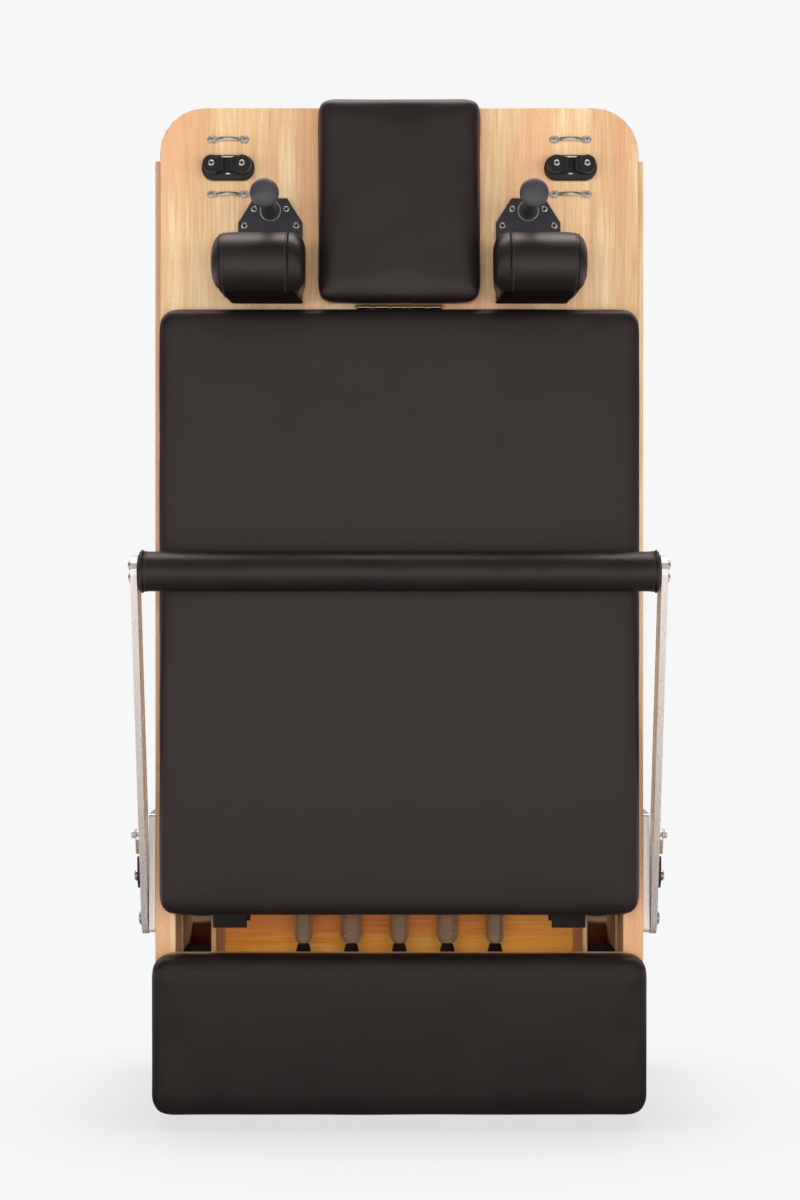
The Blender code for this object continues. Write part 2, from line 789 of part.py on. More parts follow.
def make_corner_foot(half, name, side, parent):
    """A rubber foot: a sole to stand on when folded, and a block to lie on when open."""
    outer = RAIL_OUTER - FOOT_SIDE_INSET
    if half == "head":
        outer -= FOOT_WIDTH + FOOT_SIDE_GAP
    inner = outer - FOOT_WIDTH
    top = FRAME_BOTTOM - TOUCH
    front = RAIL_FRONT + FOOT_FRONT_INSET
    back = RAIL_BACK + STANDING_HEIGHT
    block = RAIL_BACK + TOUCH
    outline = [
        (front + FOOT_EDGE, 0),
        (back - FOOT_EDGE, 0),
        (back, FOOT_EDGE),
        (back, FOOT_BLOCK_LENGTH - FOOT_BLOCK_EDGE),
        (back - FOOT_BLOCK_EDGE, FOOT_BLOCK_LENGTH),
        (block, FOOT_BLOCK_LENGTH),
        (block, top),
        (front, top),
        (front, FOOT_EDGE),
    ]
    if half == "head":
        outline = [(head_y(y), z) for y, z in outline]
    low, high = sorted((side * inner, side * outer))
    return flat_piece(
        f"{name}_{half}_corner_foot", [outline], "X", low, high, rubber, parent
    )


def make_fold_hinge(half, parent):
    """One leaf of the long fold hinge. Its ears reach out to the pin below the frames."""
    leaf_low = RAIL_BACK + TOUCH
    leaf_high = leaf_low + HINGE_LEAF_THICKNESS
    leaf_top = FRAME_TOP - 0.006
    reach = RAIL_INNER - TOUCH
    y_low, y_high = y_pair(half, leaf_low, leaf_high)
    leaf = box(
        f"{half}_fold_hinge",
        (-reach, y_low, leaf_top - HINGE_LEAF_WIDTH),
        (reach, y_high, leaf_top),
        steel,
        parent,
    )
    root = leaf_low + 0.001
    ear = [(root, leaf_top - 0.034), (root, leaf_top)]
    ear += arc((FOLD_Y, FOLD_Z), HINGE_KNUCKLE_RADIUS, 120, -60, 8)
    ear = [(y if half == "foot" else head_y(y), z) for y, z in ear]
    shift = 0.0 if half == "foot" else HINGE_EAR_WIDTH + 0.001
    middles = [m - shift for m in (-HINGE_EAR_SPACING, 0.0, HINGE_EAR_SPACING)]
    joined = []
    for number, middle in enumerate(middles, 1):
        ends = (middle - HINGE_EAR_WIDTH / 2, middle + HINGE_EAR_WIDTH / 2)
        outlines = [ear]
        if half == "head":
            outlines.append(circle((FOLD_Y, FOLD_Z), HINGE_PIN_RADIUS + RUNNING_FIT, 12))
        joined.append(
            flat_piece(f"{half} hinge ear {number}", outlines, "X", *ends, steel, parent)
        )
    if half == "foot":
        start = -HINGE_EAR_SPACING - HINGE_EAR_WIDTH * 1.5 - 0.003
        length = 2 * HINGE_EAR_SPACING + HINGE_EAR_WIDTH * 2 + 0.001
        pin_start = (start, FOLD_Y, FOLD_Z)
        joined.append(
            rod("Fold hinge pin", pin_start, "+X", HINGE_PIN_RADIUS, length, steel, None, 12)
        )
    return fuse(leaf, *joined)


# Foot end


def make_platform():
    back = RAIL_FRONT - TOUCH
    front = back - PLATFORM_THICKNESS
    top = FRAME_BOTTOM + PLATFORM_HEIGHT
    outline = rounded_rectangle(
        (-RAIL_OUTER, RAIL_OUTER), (FRAME_BOTTOM, top), [PLATFORM_CORNER] * 4, 6
    )
    soften(flat_piece("platform_board", [outline], "Y", front, back, wood), 0.0025)
    cushion(
        "platform_pad",
        (0, FRAME_BOTTOM + PLATFORM_HEIGHT / 2),
        (FRAME_WIDTH, PLATFORM_HEIGHT - 0.001, PAD_THICKNESS),
        PLATFORM_CORNER,
        0.003,
        front - TOUCH,
        leatherette,
        None,
    )


def make_spring_bar():
    """The bar that rests on both tracks, with a black cup for the end of each spring."""
    reach = RAIL_INNER - TOUCH
    bar = box(
        "spring_bar",
        (-reach, SPRING_Y - SPRING_BAR_DEPTH / 2, SPRING_BAR_BOTTOM),
        (reach, SPRING_Y + SPRING_BAR_DEPTH / 2, SPRING_BAR_TOP),
        black_metal,
        edge=0.0015,
    )
    cups = []
    for number, x in enumerate(SPRING_POSITIONS, 1):
        profile = [
            (0, SUNK + SPRING_CUP_HEIGHT),
            (SPRING_CUP_TOP_RADIUS, SUNK + SPRING_CUP_HEIGHT),
            (SPRING_CUP_RADIUS, SUNK),
            (SPRING_CUP_RADIUS, 0),
            (0, 0),
        ]
        place = (x, SPRING_Y, SPRING_BAR_TOP - SUNK)
        cups.append(turned(f"Spring cup {number}", profile, place, "+Z", black_metal, steps=12))
    return fuse(bar, *cups)


def coil_points(radius):
    """The wire's middle line: a straight neck, curls that widen, then curls of one size."""
    step = 1 / SPRING_POINTS_PER_CURL
    points = [(0.0, 0.0, 0.0), (0.0, 0.0, SPRING_WIRE)]
    lift = SPRING_WIRE * 1.6
    total = SPRING_CURLS * SPRING_POINTS_PER_CURL
    for i in range(total + 1):
        turns = i * step
        widened = min(turns / SPRING_TAPER_CURLS, 1.0)
        middle_radius = radius - SPRING_WIRE / 2
        here = SPRING_NECK_RADIUS + (middle_radius - SPRING_NECK_RADIUS) * widened
        angle = 2 * math.pi * turns
        points.append((here * math.cos(angle), here * math.sin(angle), lift + turns * SPRING_PITCH))
    return points


def least_gap(points):
    """The smallest space between the wire and itself, a turn or more away."""
    line = np.array(points)
    apart = SPRING_POINTS_PER_CURL - 2
    least = 1.0
    for i in range(len(line) - apart):
        away = np.linalg.norm(line[i + apart :] - line[i], axis=1)
        least = min(least, float(away.min()))
    return least - SPRING_WIRE


def make_spring(number, x, radius):
    """A real coil where the spring shows, run into a plain close-wound length above."""
    points = coil_points(radius)
    gap = least_gap(points)
    print(f"spring_{number}: least gap between its curls {gap * 1000:.2f} mm")
    curve = bpy.data.curves.new(f"Spring {number} wire", "CURVE")
    curve.dimensions = "3D"
    curve.bevel_depth = SPRING_WIRE / 2
    curve.bevel_resolution = 1
    curve.use_fill_caps = True
    spline = curve.splines.new("POLY")
    spline.points.add(len(points) - 1)
    for point, place in zip(spline.points, points):
        point.co = (*place, 1)
    drawn = bpy.data.objects.new(f"Spring {number} wire", curve)
    parts.objects.link(drawn)
    coil_mesh = mesh_of(drawn)
    name = f"spring_{number}"
    coil = add_mesh(name, coil_mesh, (x, SPRING_Y, SPRING_BOTTOM), (0, 0, 0), steel, None)
    close_start = SPRING_BOTTOM + points[-1][2] - SPRING_WIRE * 0.3
    length = SPRING_TOP - TOUCH - close_start
    close_wound = rod(
        f"Spring {number} close-wound length",
        (x, SPRING_Y, close_start),
        "+Z",
        radius,
        length,
        steel,
        steps=16,
    )
    return fuse(coil, close_wound)


# Carriage


def make_carriage_board(parent):
    """The board, with the glued batten below it that the springs pull on."""
    half_width = BOARD_WIDTH / 2
    outline = rounded_rectangle(
        (-half_width, half_width),
        (BOARD_BOTTOM, BOARD_TOP),
        [0.006, 0.006, BOARD_CORNER, BOARD_CORNER],
        6,
    )
    board = flat_piece(
        "carriage_board", [outline], "Y", BOARD_FRONT, BOARD_BACK, wood, parent
    )
    soften(board, 0.0025)
    batten = box(
        "Spring anchor batten",
        (-ANCHOR_BATTEN_WIDTH / 2, BOARD_BACK - 0.002, SPRING_TOP),
        (ANCHOR_BATTEN_WIDTH / 2, BOARD_BACK + ANCHOR_BATTEN_DEPTH, SPRING_TOP + ANCHOR_BATTEN_HEIGHT),
        wood,
        parent,
        edge=0.003,
    )
    return fuse(board, batten)


def make_wheel_beam(name, side, parent):
    """A channel below the board, open towards the middle, with its two wheel axles."""
    outer = LEDGE_INNER - BEAM_TO_LEDGE
    inner = outer - BEAM_WIDTH
    front = BOARD_BACK + TOUCH
    back = front + BEAM_DEPTH
    section = [
        (inner, front),
        (outer, front),
        (outer, back),
        (inner, back),
        (inner, back - BEAM_WALL),
        (outer - BEAM_WALL, back - BEAM_WALL),
        (outer - BEAM_WALL, front + BEAM_WALL),
        (inner, front + BEAM_WALL),
    ]
    bottom = BOARD_BOTTOM - BEAM_OVERHANG
    beam = flat_piece(
        f"{name}_wheel_beam",
        [mirrored(section, side)],
        "Z",
        bottom,
        bottom + BEAM_LENGTH,
        black_metal,
        parent,
    )
    axles = []
    direction = "+X" if side > 0 else "-X"
    wheel_side = WHEEL_SIDE_GAP + WHEEL_WIDTH
    for number, z in enumerate(wheel_heights(), 1):
        profile = [
            (0, SUNK + wheel_side + AXLE_HEAD_REACH),
            (AXLE_HEAD_RADIUS, SUNK + wheel_side + AXLE_HEAD_REACH),
            (AXLE_HEAD_RADIUS, SUNK + wheel_side + RUNNING_FIT),
            (WHEEL_AXLE_RADIUS, SUNK + wheel_side + RUNNING_FIT),
            (WHEEL_AXLE_RADIUS, SUNK + WHEEL_SIDE_GAP - RUNNING_FIT),
            (AXLE_COLLAR_RADIUS, SUNK + WHEEL_SIDE_GAP - RUNNING_FIT),
            (AXLE_COLLAR_RADIUS, 0),
            (0, 0),
        ]
        place = (side * (outer - SUNK), WHEEL_Y, z)
        axles.append(
            turned(f"{name} axle {number}", profile, place, direction, black_metal, parent, 12)
        )
    return fuse(beam, *axles)


def wheel_heights():
    bottom = BOARD_BOTTOM - BEAM_OVERHANG
    return bottom + WHEEL_END_DISTANCE, bottom + BEAM_LENGTH - WHEEL_END_DISTANCE


def make_wheel(level, name, side, z, parent):
    """A running wheel with a soft tread, a dished outer side and a bored hub."""
    half = WHEEL_WIDTH / 2
    bore = WHEEL_AXLE_RADIUS + RUNNING_FIT
    dish = 0.005
    profile = [
        (WHEEL_RADIUS * 0.94, half),
        (WHEEL_RADIUS, half * 0.72),
        (WHEEL_RADIUS, -half * 0.72),
        (WHEEL_RADIUS * 0.94, -half),
        (WHEEL_RADIUS * 0.80, -half),
        (WHEEL_RADIUS * 0.74, dish - half),
        (WHEEL_HUB_RADIUS, dish - half),
        (WHEEL_HUB_RADIUS, -half),
        (bore, -half),
        (bore, half),
    ]
    x = side * (LEDGE_INNER - BEAM_TO_LEDGE + WHEEL_SIDE_GAP + half)
    outward = "-X" if side > 0 else "+X"
    return turned(
        f"{name}_{level}_wheel", profile, (x, WHEEL_Y, z), outward, grey_plastic, parent, 20
    )


def make_shoulder_bracket(name, side, parent):
    """A steel plate with its upright leg and the mushroom-headed strap peg."""
    back = BOARD_FRONT - TOUCH
    front = back - REST_PLATE_THICKNESS
    middle = side * REST_X
    half = REST_PLATE_WIDTH / 2
    half_top = REST_PLATE_TOP_WIDTH / 2
    outline = [
        (middle - half, REST_PLATE_BOTTOM),
        (middle + half, REST_PLATE_BOTTOM),
        (middle + half, REST_PLATE_TOP - REST_CHAMFER_HEIGHT),
        (middle + half_top, REST_PLATE_TOP),
        (middle - half_top, REST_PLATE_TOP),
        (middle - half, REST_PLATE_TOP - REST_CHAMFER_HEIGHT),
    ]
    plate = flat_piece(
        f"{name}_shoulder_bracket", [outline], "Y", front, back, black_metal, parent
    )
    tip = back - REST_UPRIGHT_HEIGHT
    half_leg = REST_UPRIGHT_WIDTH / 2
    corner = REST_UPRIGHT_CORNER
    root = front + SUNK
    leg_outline = [(middle - half_leg, root), (middle - half_leg, tip + corner)]
    leg_outline += arc((middle - half_leg + corner, tip + corner), corner, 180, 270, 4)
    leg_outline += arc((middle + half_leg - corner, tip + corner), corner, 270, 360, 4)
    leg_outline.append((middle + half_leg, root))
    upright = flat_piece(
        f"{name} upright leg",
        [leg_outline],
        "Z",
        REST_UPRIGHT_Z,
        REST_UPRIGHT_Z + REST_PLATE_THICKNESS,
        black_metal,
        parent,
    )
    top = PEG_HEIGHT - TOUCH - REST_PLATE_THICKNESS + SUNK
    head = top - PEG_HEAD_HEIGHT
    profile = [
        (0, top),
        (PEG_HEAD_RADIUS * 0.62, top - PEG_HEAD_HEIGHT * 0.10),
        (PEG_HEAD_RADIUS * 0.93, top - PEG_HEAD_HEIGHT * 0.38),
        (PEG_HEAD_RADIUS, top - PEG_HEAD_HEIGHT * 0.67),
        (PEG_HEAD_RADIUS * 0.86, head),
        (PEG_NECK_RADIUS * 1.15, head - PEG_HEAD_HEIGHT * 0.42),
        (PEG_NECK_RADIUS, head - PEG_HEAD_HEIGHT * 1.33),
        (PEG_FOOT_RADIUS, SUNK + PEG_RING_HEIGHT + PEG_RING_RADIUS - PEG_FOOT_RADIUS),
        (PEG_RING_RADIUS, SUNK + PEG_RING_HEIGHT),
        (PEG_RING_RADIUS, 0),
        (0, 0),
    ]
    peg = turned(
        f"{name} strap peg", profile, (middle, front + SUNK, PEG_Z), "-Y", black_plastic, parent, 16
    )
    return fuse(plate, upright, peg)


def make_bolster(name, side, parent):
    """The shoulder cushion: full at its shoulders, drawn in at its sides and its base."""
    base = BOARD_FRONT - TOUCH - REST_PLATE_THICKNESS - TOUCH
    top_z = REST_UPRIGHT_Z - TOUCH
    centre_z = top_z - BOLSTER_THICKNESS / 2
    # Each ring is a share of the height, then its width, its thickness and its corner
    rings_at = [
        (0.00, BOLSTER_BASE_WIDTH - 0.006, BOLSTER_THICKNESS - 0.010, 0.010),
        (0.03, BOLSTER_BASE_WIDTH, BOLSTER_THICKNESS - 0.004, 0.013),
        (0.30, BOLSTER_BASE_WIDTH + 0.008, BOLSTER_THICKNESS - 0.001, BOLSTER_CORNER),
        (0.62, BOLSTER_WIDTH - 0.006, BOLSTER_THICKNESS, BOLSTER_CORNER),
        (0.80, BOLSTER_WIDTH, BOLSTER_THICKNESS, BOLSTER_CORNER),
        (0.91, BOLSTER_WIDTH - 0.004, BOLSTER_THICKNESS - 0.004, BOLSTER_CORNER),
        (0.97, BOLSTER_WIDTH - 0.016, BOLSTER_THICKNESS - 0.014, 0.014),
        (1.00, BOLSTER_WIDTH - 0.040, BOLSTER_THICKNESS - 0.036, 0.010),
    ]
    rings = []
    for share, width, thickness, corner in rings_at:
        across, up = width / 2, thickness / 2
        outline = rounded_rectangle((-across, across), (-up, up), [corner] * 4, 4)
        rings.append([(x, -share * BOLSTER_HEIGHT, z) for x, z in outline])
    centre = (side * (REST_X + BOLSTER_OFFSET), base, centre_z)
    return loft(f"{name}_shoulder_bolster", rings, centre, leatherette, parent)


def make_cleat(name, side, parent):
    """The cam cleat's base with its two headed pins."""
    back = BOARD_FRONT - TOUCH
    front = back - CLEAT_BASE_HEIGHT
    x = side * CLEAT_X
    outline = rounded_rectangle(
        (x - CLEAT_LENGTH / 2, x + CLEAT_LENGTH / 2),
        (CLEAT_Z - CLEAT_DEPTH / 2, CLEAT_Z + CLEAT_DEPTH / 2),
        [CLEAT_CORNER] * 4,
        4,
    )
    base = flat_piece(f"{name}_cleat_base", [outline], "Y", front, back, black_plastic, parent)
    soften(base, 0.0015, segments=1)
    pins = []
    neck = SUNK + RUNNING_FIT + CAM_HEIGHT + RUNNING_FIT
    for cam_side in (-1, 1):
        profile = [
            (0, neck + CAM_HEAD_HEIGHT),
            (CAM_HEAD_RADIUS * 0.7, neck + CAM_HEAD_HEIGHT * 0.85),
            (CAM_HEAD_RADIUS, neck + CAM_HEAD_HEIGHT * 0.3),
            (CAM_HEAD_RADIUS, neck),
            (CAM_PIN_RADIUS, neck),
            (CAM_PIN_RADIUS, 0),
            (0, 0),
        ]
        place = (x + cam_side * CAM_SPACING / 2, front + SUNK, CLEAT_Z)
        label = f"{name} cleat pin {cam_side}"
        pins.append(turned(label, profile, place, "-Y", black_plastic, parent, steps=12))
    return fuse(base, *pins)


def make_cam(name, side, which, cam_side, parent):
    """A cam whose toothed lobe grows towards the rope between the two cams."""
    axis = (side * CLEAT_X + cam_side * CAM_SPACING / 2, CLEAT_Z)
    points = []
    for i in range(CAM_STEPS):
        angle = 360 * i / CAM_STEPS
        # Degrees from the direction of the other cam
        away = min(angle, 360 - angle) if cam_side < 0 else abs(angle - 180)
        lobe = CAM_LOBE * max(0.0, math.cos(math.radians(away))) ** 2
        radius = CAM_RADIUS + lobe
        if away < CAM_GRIP / 2 and i % 2:
            radius -= CAM_TOOTH_DEPTH
        turn = math.radians(angle)
        points.append((axis[0] + radius * math.cos(turn), axis[1] + radius * math.sin(turn)))
    hole = circle(axis, CAM_PIN_RADIUS + RUNNING_FIT, 12)
    back = BOARD_FRONT - TOUCH - CLEAT_BASE_HEIGHT - RUNNING_FIT
    return flat_piece(
        f"{name}_cleat_{which}_cam",
        [points, hole],
        "Y",
        back - CAM_HEIGHT,
        back,
        black_plastic,
        parent,
        axis=axis,
    )


def make_eye_strap(level, name, side, z, parent):
    """A bent metal strap between two round lugs, that a rope runs under."""
    half_length = STRAP_LENGTH / 2
    half_arch = STRAP_ARCH / 2
    lug = STRAP_LUG_WIDTH / 2
    # Each station is how far across, how far out from the board, and how wide the strap is
    left_half = []
    for turn in (12, 40, 70, 100, 128):
        across = lug - half_length - lug * math.cos(math.radians(turn))
        left_half.append((across, 0.0, STRAP_LUG_WIDTH * math.sin(math.radians(turn))))
    left_half.append((-half_arch, 0.0, STRAP_ARCH_WIDTH))
    steps = 10
    for i in range(1, steps // 2 + 1):
        share = i / steps
        rise = (STRAP_RISE - STRAP_THICKNESS) * math.sin(math.pi * share) ** 0.6
        left_half.append((STRAP_ARCH * share - half_arch, rise, STRAP_ARCH_WIDTH))
    right_half = [(-across, rise, width) for across, rise, width in reversed(left_half[:-1])]
    rings = []
    for across, rise, width in left_half + right_half:
        under = across * (0.93 if rise else 1.0)
        low, high = -width / 2, width / 2
        rings.append(
            [
                (across, -STRAP_THICKNESS - rise, low),
                (across, -STRAP_THICKNESS - rise, high),
                (under, -rise, high),
                (under, -rise, low),
            ]
        )
    place = (side * CLEAT_X, BOARD_FRONT - TOUCH, z)
    strap = loft(f"{name}_{level}_eye_strap", rings, place, chrome, parent)
    strap.data.set_sharp_from_angle(angle=math.radians(35))
    return strap


def make_headrest_hinge(parent):
    """The small butt hinge between the carriage pad and the headrest."""
    half_groove = BUTT_GROOVE_WIDTH / 2
    bottom = BUTT_KNUCKLE_RADIUS - BUTT_GROOVE_DEPTH
    knuckle = BUTT_HINGE_LENGTH / BUTT_KNUCKLES
    profile = [(0, BUTT_HINGE_LENGTH), (BUTT_KNUCKLE_RADIUS, BUTT_HINGE_LENGTH)]
    for number in range(BUTT_KNUCKLES - 1, 0, -1):
        middle = knuckle * number
        profile += [
            (BUTT_KNUCKLE_RADIUS, middle + half_groove),
            (bottom, middle + half_groove / 2),
            (bottom, middle - half_groove / 2),
            (BUTT_KNUCKLE_RADIUS, middle - half_groove),
        ]
    profile += [(BUTT_KNUCKLE_RADIUS, 0), (0, 0)]
    place = (-BUTT_HINGE_LENGTH / 2, BUTT_Y, BUTT_Z)
    barrel = turned("headrest_hinge", profile, place, "+X", bronze, parent, steps=12)
    leaf_back = BOARD_FRONT - TOUCH
    leaf = box(
        "Headrest hinge leaf",
        (-BUTT_LEAF_LENGTH / 2, leaf_back - BUTT_LEAF_THICKNESS, PAD_TOP + BUTT_LEAF_EDGE),
        (BUTT_LEAF_LENGTH / 2, leaf_back, BUTT_Z),
        bronze,
        parent,
    )
    return fuse(barrel, leaf)


def make_headrest(parent):
    bottom = HEADREST_BOTTOM
    top = bottom + HEADREST_LENGTH
    half_width = HEADREST_WIDTH / 2
    back = BOARD_FRONT - TOUCH
    front = back - HEADREST_BOARD
    inset = HEADREST_BOARD_INSET
    outline = rounded_rectangle(
        (-half_width + inset, half_width - inset),
        (bottom + TOUCH, top - inset),
        [inset * 2, inset * 2, HEADREST_CORNER, HEADREST_CORNER],
        4,
    )
    headrest = flat_piece("headrest_board", [outline], "Y", front, back, wood, parent)
    soften(headrest, 0.0015, segments=1)
    cushion(
        "headrest_pad",
        (0, (bottom + top) / 2),
        (HEADREST_WIDTH, HEADREST_LENGTH, PAD_THICKNESS),
        HEADREST_CORNER,
        0.004,
        front - TOUCH,
        leatherette,
        parent,
    )


# Footbar


def along_arm(distance):
    """A point (y, z) on the arm's middle line, at a distance from its pivot."""
    return PIVOT_Y + ARM_ALONG[0] * distance, PIVOT_Z + ARM_ALONG[1] * distance


def make_bracket(name, side):
    """The plate on the rail's outer face, with the pin that the arm turns on."""
    front = RAIL_FRONT + BRACKET_FRONT_INSET
    top = BRACKET_BOTTOM + BRACKET_HEIGHT
    corners = [BRACKET_EDGE, BRACKET_CORNER, BRACKET_CORNER, BRACKET_EDGE]
    outline = rounded_rectangle((front, front + BRACKET_DEPTH), (BRACKET_BOTTOM, top), corners, 5)
    hole_y = front + BRACKET_DEPTH - BRACKET_HOLE_INSET
    holes = []
    for share in (0.2, 0.5, 0.8):
        z = BRACKET_BOTTOM + BRACKET_HEIGHT * share
        holes.append(circle((hole_y, z), BRACKET_HOLE_RADIUS, 12))
    low, high = sorted((side * BRACKET_INNER, side * BRACKET_OUTER))
    plate = flat_piece(f"{name}_footbar_bracket", [outline, *holes], "X", low, high, steel)
    arm_space = SUNK + ARM_SIDE_GAP + ARM_THICKNESS + RUNNING_FIT
    profile = headed_pin(PIVOT_HEAD_RADIUS, PIVOT_HEAD_HEIGHT, PIVOT_PIN_RADIUS, arm_space)
    place = (side * (BRACKET_OUTER - SUNK), PIVOT_Y, PIVOT_Z)
    pin = turned(f"{name} pivot pin", profile, place, "+X" if side > 0 else "-X", steel, None, 16)
    return fuse(plate, pin)


def make_arm(name, side, parent):
    """A flat steel bar with its pivot hole, the bar's two bolts, and the lock's stud and pin."""
    start = along_arm(0)
    outline = bar_outline(start, along_arm(ARM_LENGTH), ARM_WIDTH / 2)
    hole = circle(start, PIVOT_PIN_RADIUS + RUNNING_FIT, 16)
    low, high = sorted((side * ARM_INNER, side * ARM_OUTER))
    arm = flat_piece(
        f"{name}_footbar_arm", [outline, hole], "X", low, high, steel, parent, axis=start
    )
    direction = "+X" if side > 0 else "-X"
    outer = side * ARM_OUTER
    joined = []
    for number, shift in enumerate((-BAR_BOLT_SPACING / 2, BAR_BOLT_SPACING / 2), 1):
        y, z = along_arm(ARM_LENGTH + shift)
        joined.append(
            domed_bolt(f"{name} bar bolt {number}", (outer, y, z), direction, BOLT_RADIUS, BOLT_HEIGHT, steel)
        )
    y, z = along_arm(STUD_DISTANCE)
    stud_top = SUNK + STUD_LENGTH
    stud = [
        (0, stud_top),
        (STUD_HEAD_RADIUS, stud_top),
        (STUD_HEAD_RADIUS, stud_top - STUD_HEAD_HEIGHT),
        (STUD_RADIUS, stud_top - STUD_HEAD_HEIGHT),
        (STUD_RADIUS, 0),
        (0, 0),
    ]
    place = (outer - side * SUNK, y, z)
    joined.append(turned(f"{name} lock stud", stud, place, direction, steel, parent, 12))
    y, z = along_arm(PAWL_DISTANCE)
    pawl_space = SUNK + PAWL_THICKNESS + 2 * RUNNING_FIT
    pin = headed_pin(PAWL_HEAD_RADIUS, PAWL_HEAD_HEIGHT, PAWL_PIN_RADIUS, pawl_space)
    joined.append(turned(f"{name} pawl pin", pin, place, direction, steel, parent, 12))
    return fuse(arm, *joined)


def make_bar(parent):
    """The padded crossbar between the arms, with a seam's ridge near each end."""
    half = ARM_INNER - TOUCH
    profile = [(0, half)]
    profile += [(radius, half - inward) for radius, inward in BAR_END]
    profile.append((BAR_RADIUS, half - 2 * BAR_END[-1][1]))
    profile += [(radius, -height) for radius, height in reversed(profile)]
    return turned("footbar_tube", profile, (0, BAR_Y, BAR_Z), "+X", leatherette, parent, 24)


def make_pawl(name, side, parent):
    """The lock's lever: a bored boss, a hooked nose up the arm and a short finger tail."""
    axis = along_arm(PAWL_DISTANCE)
    heading = math.degrees(math.atan2(ARM_ALONG[1], ARM_ALONG[0]))
    nose = along_arm(PAWL_DISTANCE + PAWL_NOSE_REACH)
    tail = along_arm(PAWL_DISTANCE - PAWL_TAIL_REACH)
    outline = arc(axis, PAWL_BOSS_RADIUS, heading - 130, heading - 40, 4)
    outline += arc(nose, PAWL_NOSE_RADIUS, heading - 90, heading + 90, 4)
    outline += arc(axis, PAWL_BOSS_RADIUS, heading + 40, heading + 130, 4)
    outline += arc(tail, PAWL_TAIL_RADIUS, heading + 100, heading + 260, 4)
    hole = circle(axis, PAWL_PIN_RADIUS + RUNNING_FIT, 12)
    inner = ARM_OUTER + RUNNING_FIT
    low, high = sorted((side * inner, side * (inner + PAWL_THICKNESS)))
    return flat_piece(
        f"{name}_lock_pawl", [outline, hole], "X", low, high, black_metal, parent, axis=axis
    )


# Assembly


def build_foot_half():
    for name, side in SIDES:
        make_rail("foot", name, side, None)
        make_track("foot", name, side, None)
        make_corner_foot("foot", name, side, None)
        make_bracket(name, side)
    make_foot_end_board()
    make_bottom_panel("foot", None)
    make_fold_hinge("foot", None)
    make_platform()
    make_spring_bar()
    for number, (x, radius) in enumerate(zip(SPRING_POSITIONS, SPRING_RADII), 1):
        make_spring(number, x, radius)


def build_head_half():
    head = empty_at("Head half", (0, FOLD_Y, FOLD_Z))
    for name, side in SIDES:
        make_rail("head", name, side, head)
        make_track("head", name, side, head)
        make_corner_foot("head", name, side, head)
        make_pulley(name, side, head)
    make_head_end_board(head)
    make_bottom_panel("head", head)
    make_fold_hinge("head", head)


def build_carriage():
    carriage = empty_at("Carriage", (0, BOARD_FRONT, BOARD_BOTTOM))
    make_carriage_board(carriage)
    cushion(
        "carriage_pad",
        (0, (PAD_BOTTOM + PAD_TOP) / 2),
        (CARRIAGE_PAD_WIDTH, CARRIAGE_PAD_LENGTH, PAD_THICKNESS),
        CARRIAGE_PAD_CORNER,
        0.003,
        BOARD_FRONT - TOUCH,
        leatherette,
        carriage,
    )
    for name, side in SIDES:
        make_wheel_beam(name, side, carriage)
        for level, z in zip(("lower", "upper"), wheel_heights()):
            make_wheel(level, name, side, z, carriage)
        make_shoulder_bracket(name, side, carriage)
        make_bolster(name, side, carriage)
        make_cleat(name, side, carriage)
        for which, cam_side in (("inner", -side), ("outer", side)):
            make_cam(name, side, which, cam_side, carriage)
        for level, offset in zip(("upper", "lower"), STRAP_Z_OFFSETS):
            make_eye_strap(level, name, side, CLEAT_Z + offset, carriage)
    make_headrest_hinge(carriage)
    headrest = empty_at("Headrest", (0, BUTT_Y, BUTT_Z), carriage)
    make_headrest(headrest)


def build_footbar():
    footbar = empty_at("Footbar", (0, PIVOT_Y, PIVOT_Z))
    for name, side in SIDES:
        make_arm(name, side, footbar)
        make_pawl(name, side, footbar)
    make_bar(footbar)


clear_scene()
parts = new_collection("Folding reformer")
cutters = new_collection("Cutters")
wood = new_material("Oiled honey wood", "e0b485", 0.5)
panel_wood = new_material("Orange plywood", "d08c48", 0.5)
leatherette = new_material("Black leatherette", "2e2a29", 0.55)
steel = new_material("Brushed steel", "c9c0ba", 0.35, 1.0)
chrome = new_material("Chromed steel", "dedede", 0.12, 1.0)
bronze = new_material("Bronzed steel", "9a8468", 0.35, 1.0)
black_metal = new_material("Black painted steel", "2b2b2d", 0.45, 0.0)
black_plastic = new_material("Black nylon", "232325", 0.5)
grey_plastic = new_material("Grey polyurethane", "6f7072", 0.5)
rubber = new_material("Black rubber", "1f1f20", 0.8)

build_foot_half()
build_head_half()
build_carriage()
build_footbar()
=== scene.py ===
"""The looks of the folding pilates reformer, built round its packed frame.

Each operator finishes or makes one group of pieces, and the panel in the 3D view's sidebar
lists them. Sizes are in metres and on the frame's own axes: +Z up along the rails, -Y the side
that the carriage faces, +X to the right as seen from there.
"""

import json
import math
import bmesh  # noqa: E402
import bpy  # noqa: E402
import numpy as np  # noqa: E402
from bpy.props import FloatProperty, FloatVectorProperty, IntProperty, PointerProperty  # noqa: E402
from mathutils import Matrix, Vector, noise  # noqa: E402
from mathutils.bvhtree import BVHTree  # noqa: E402


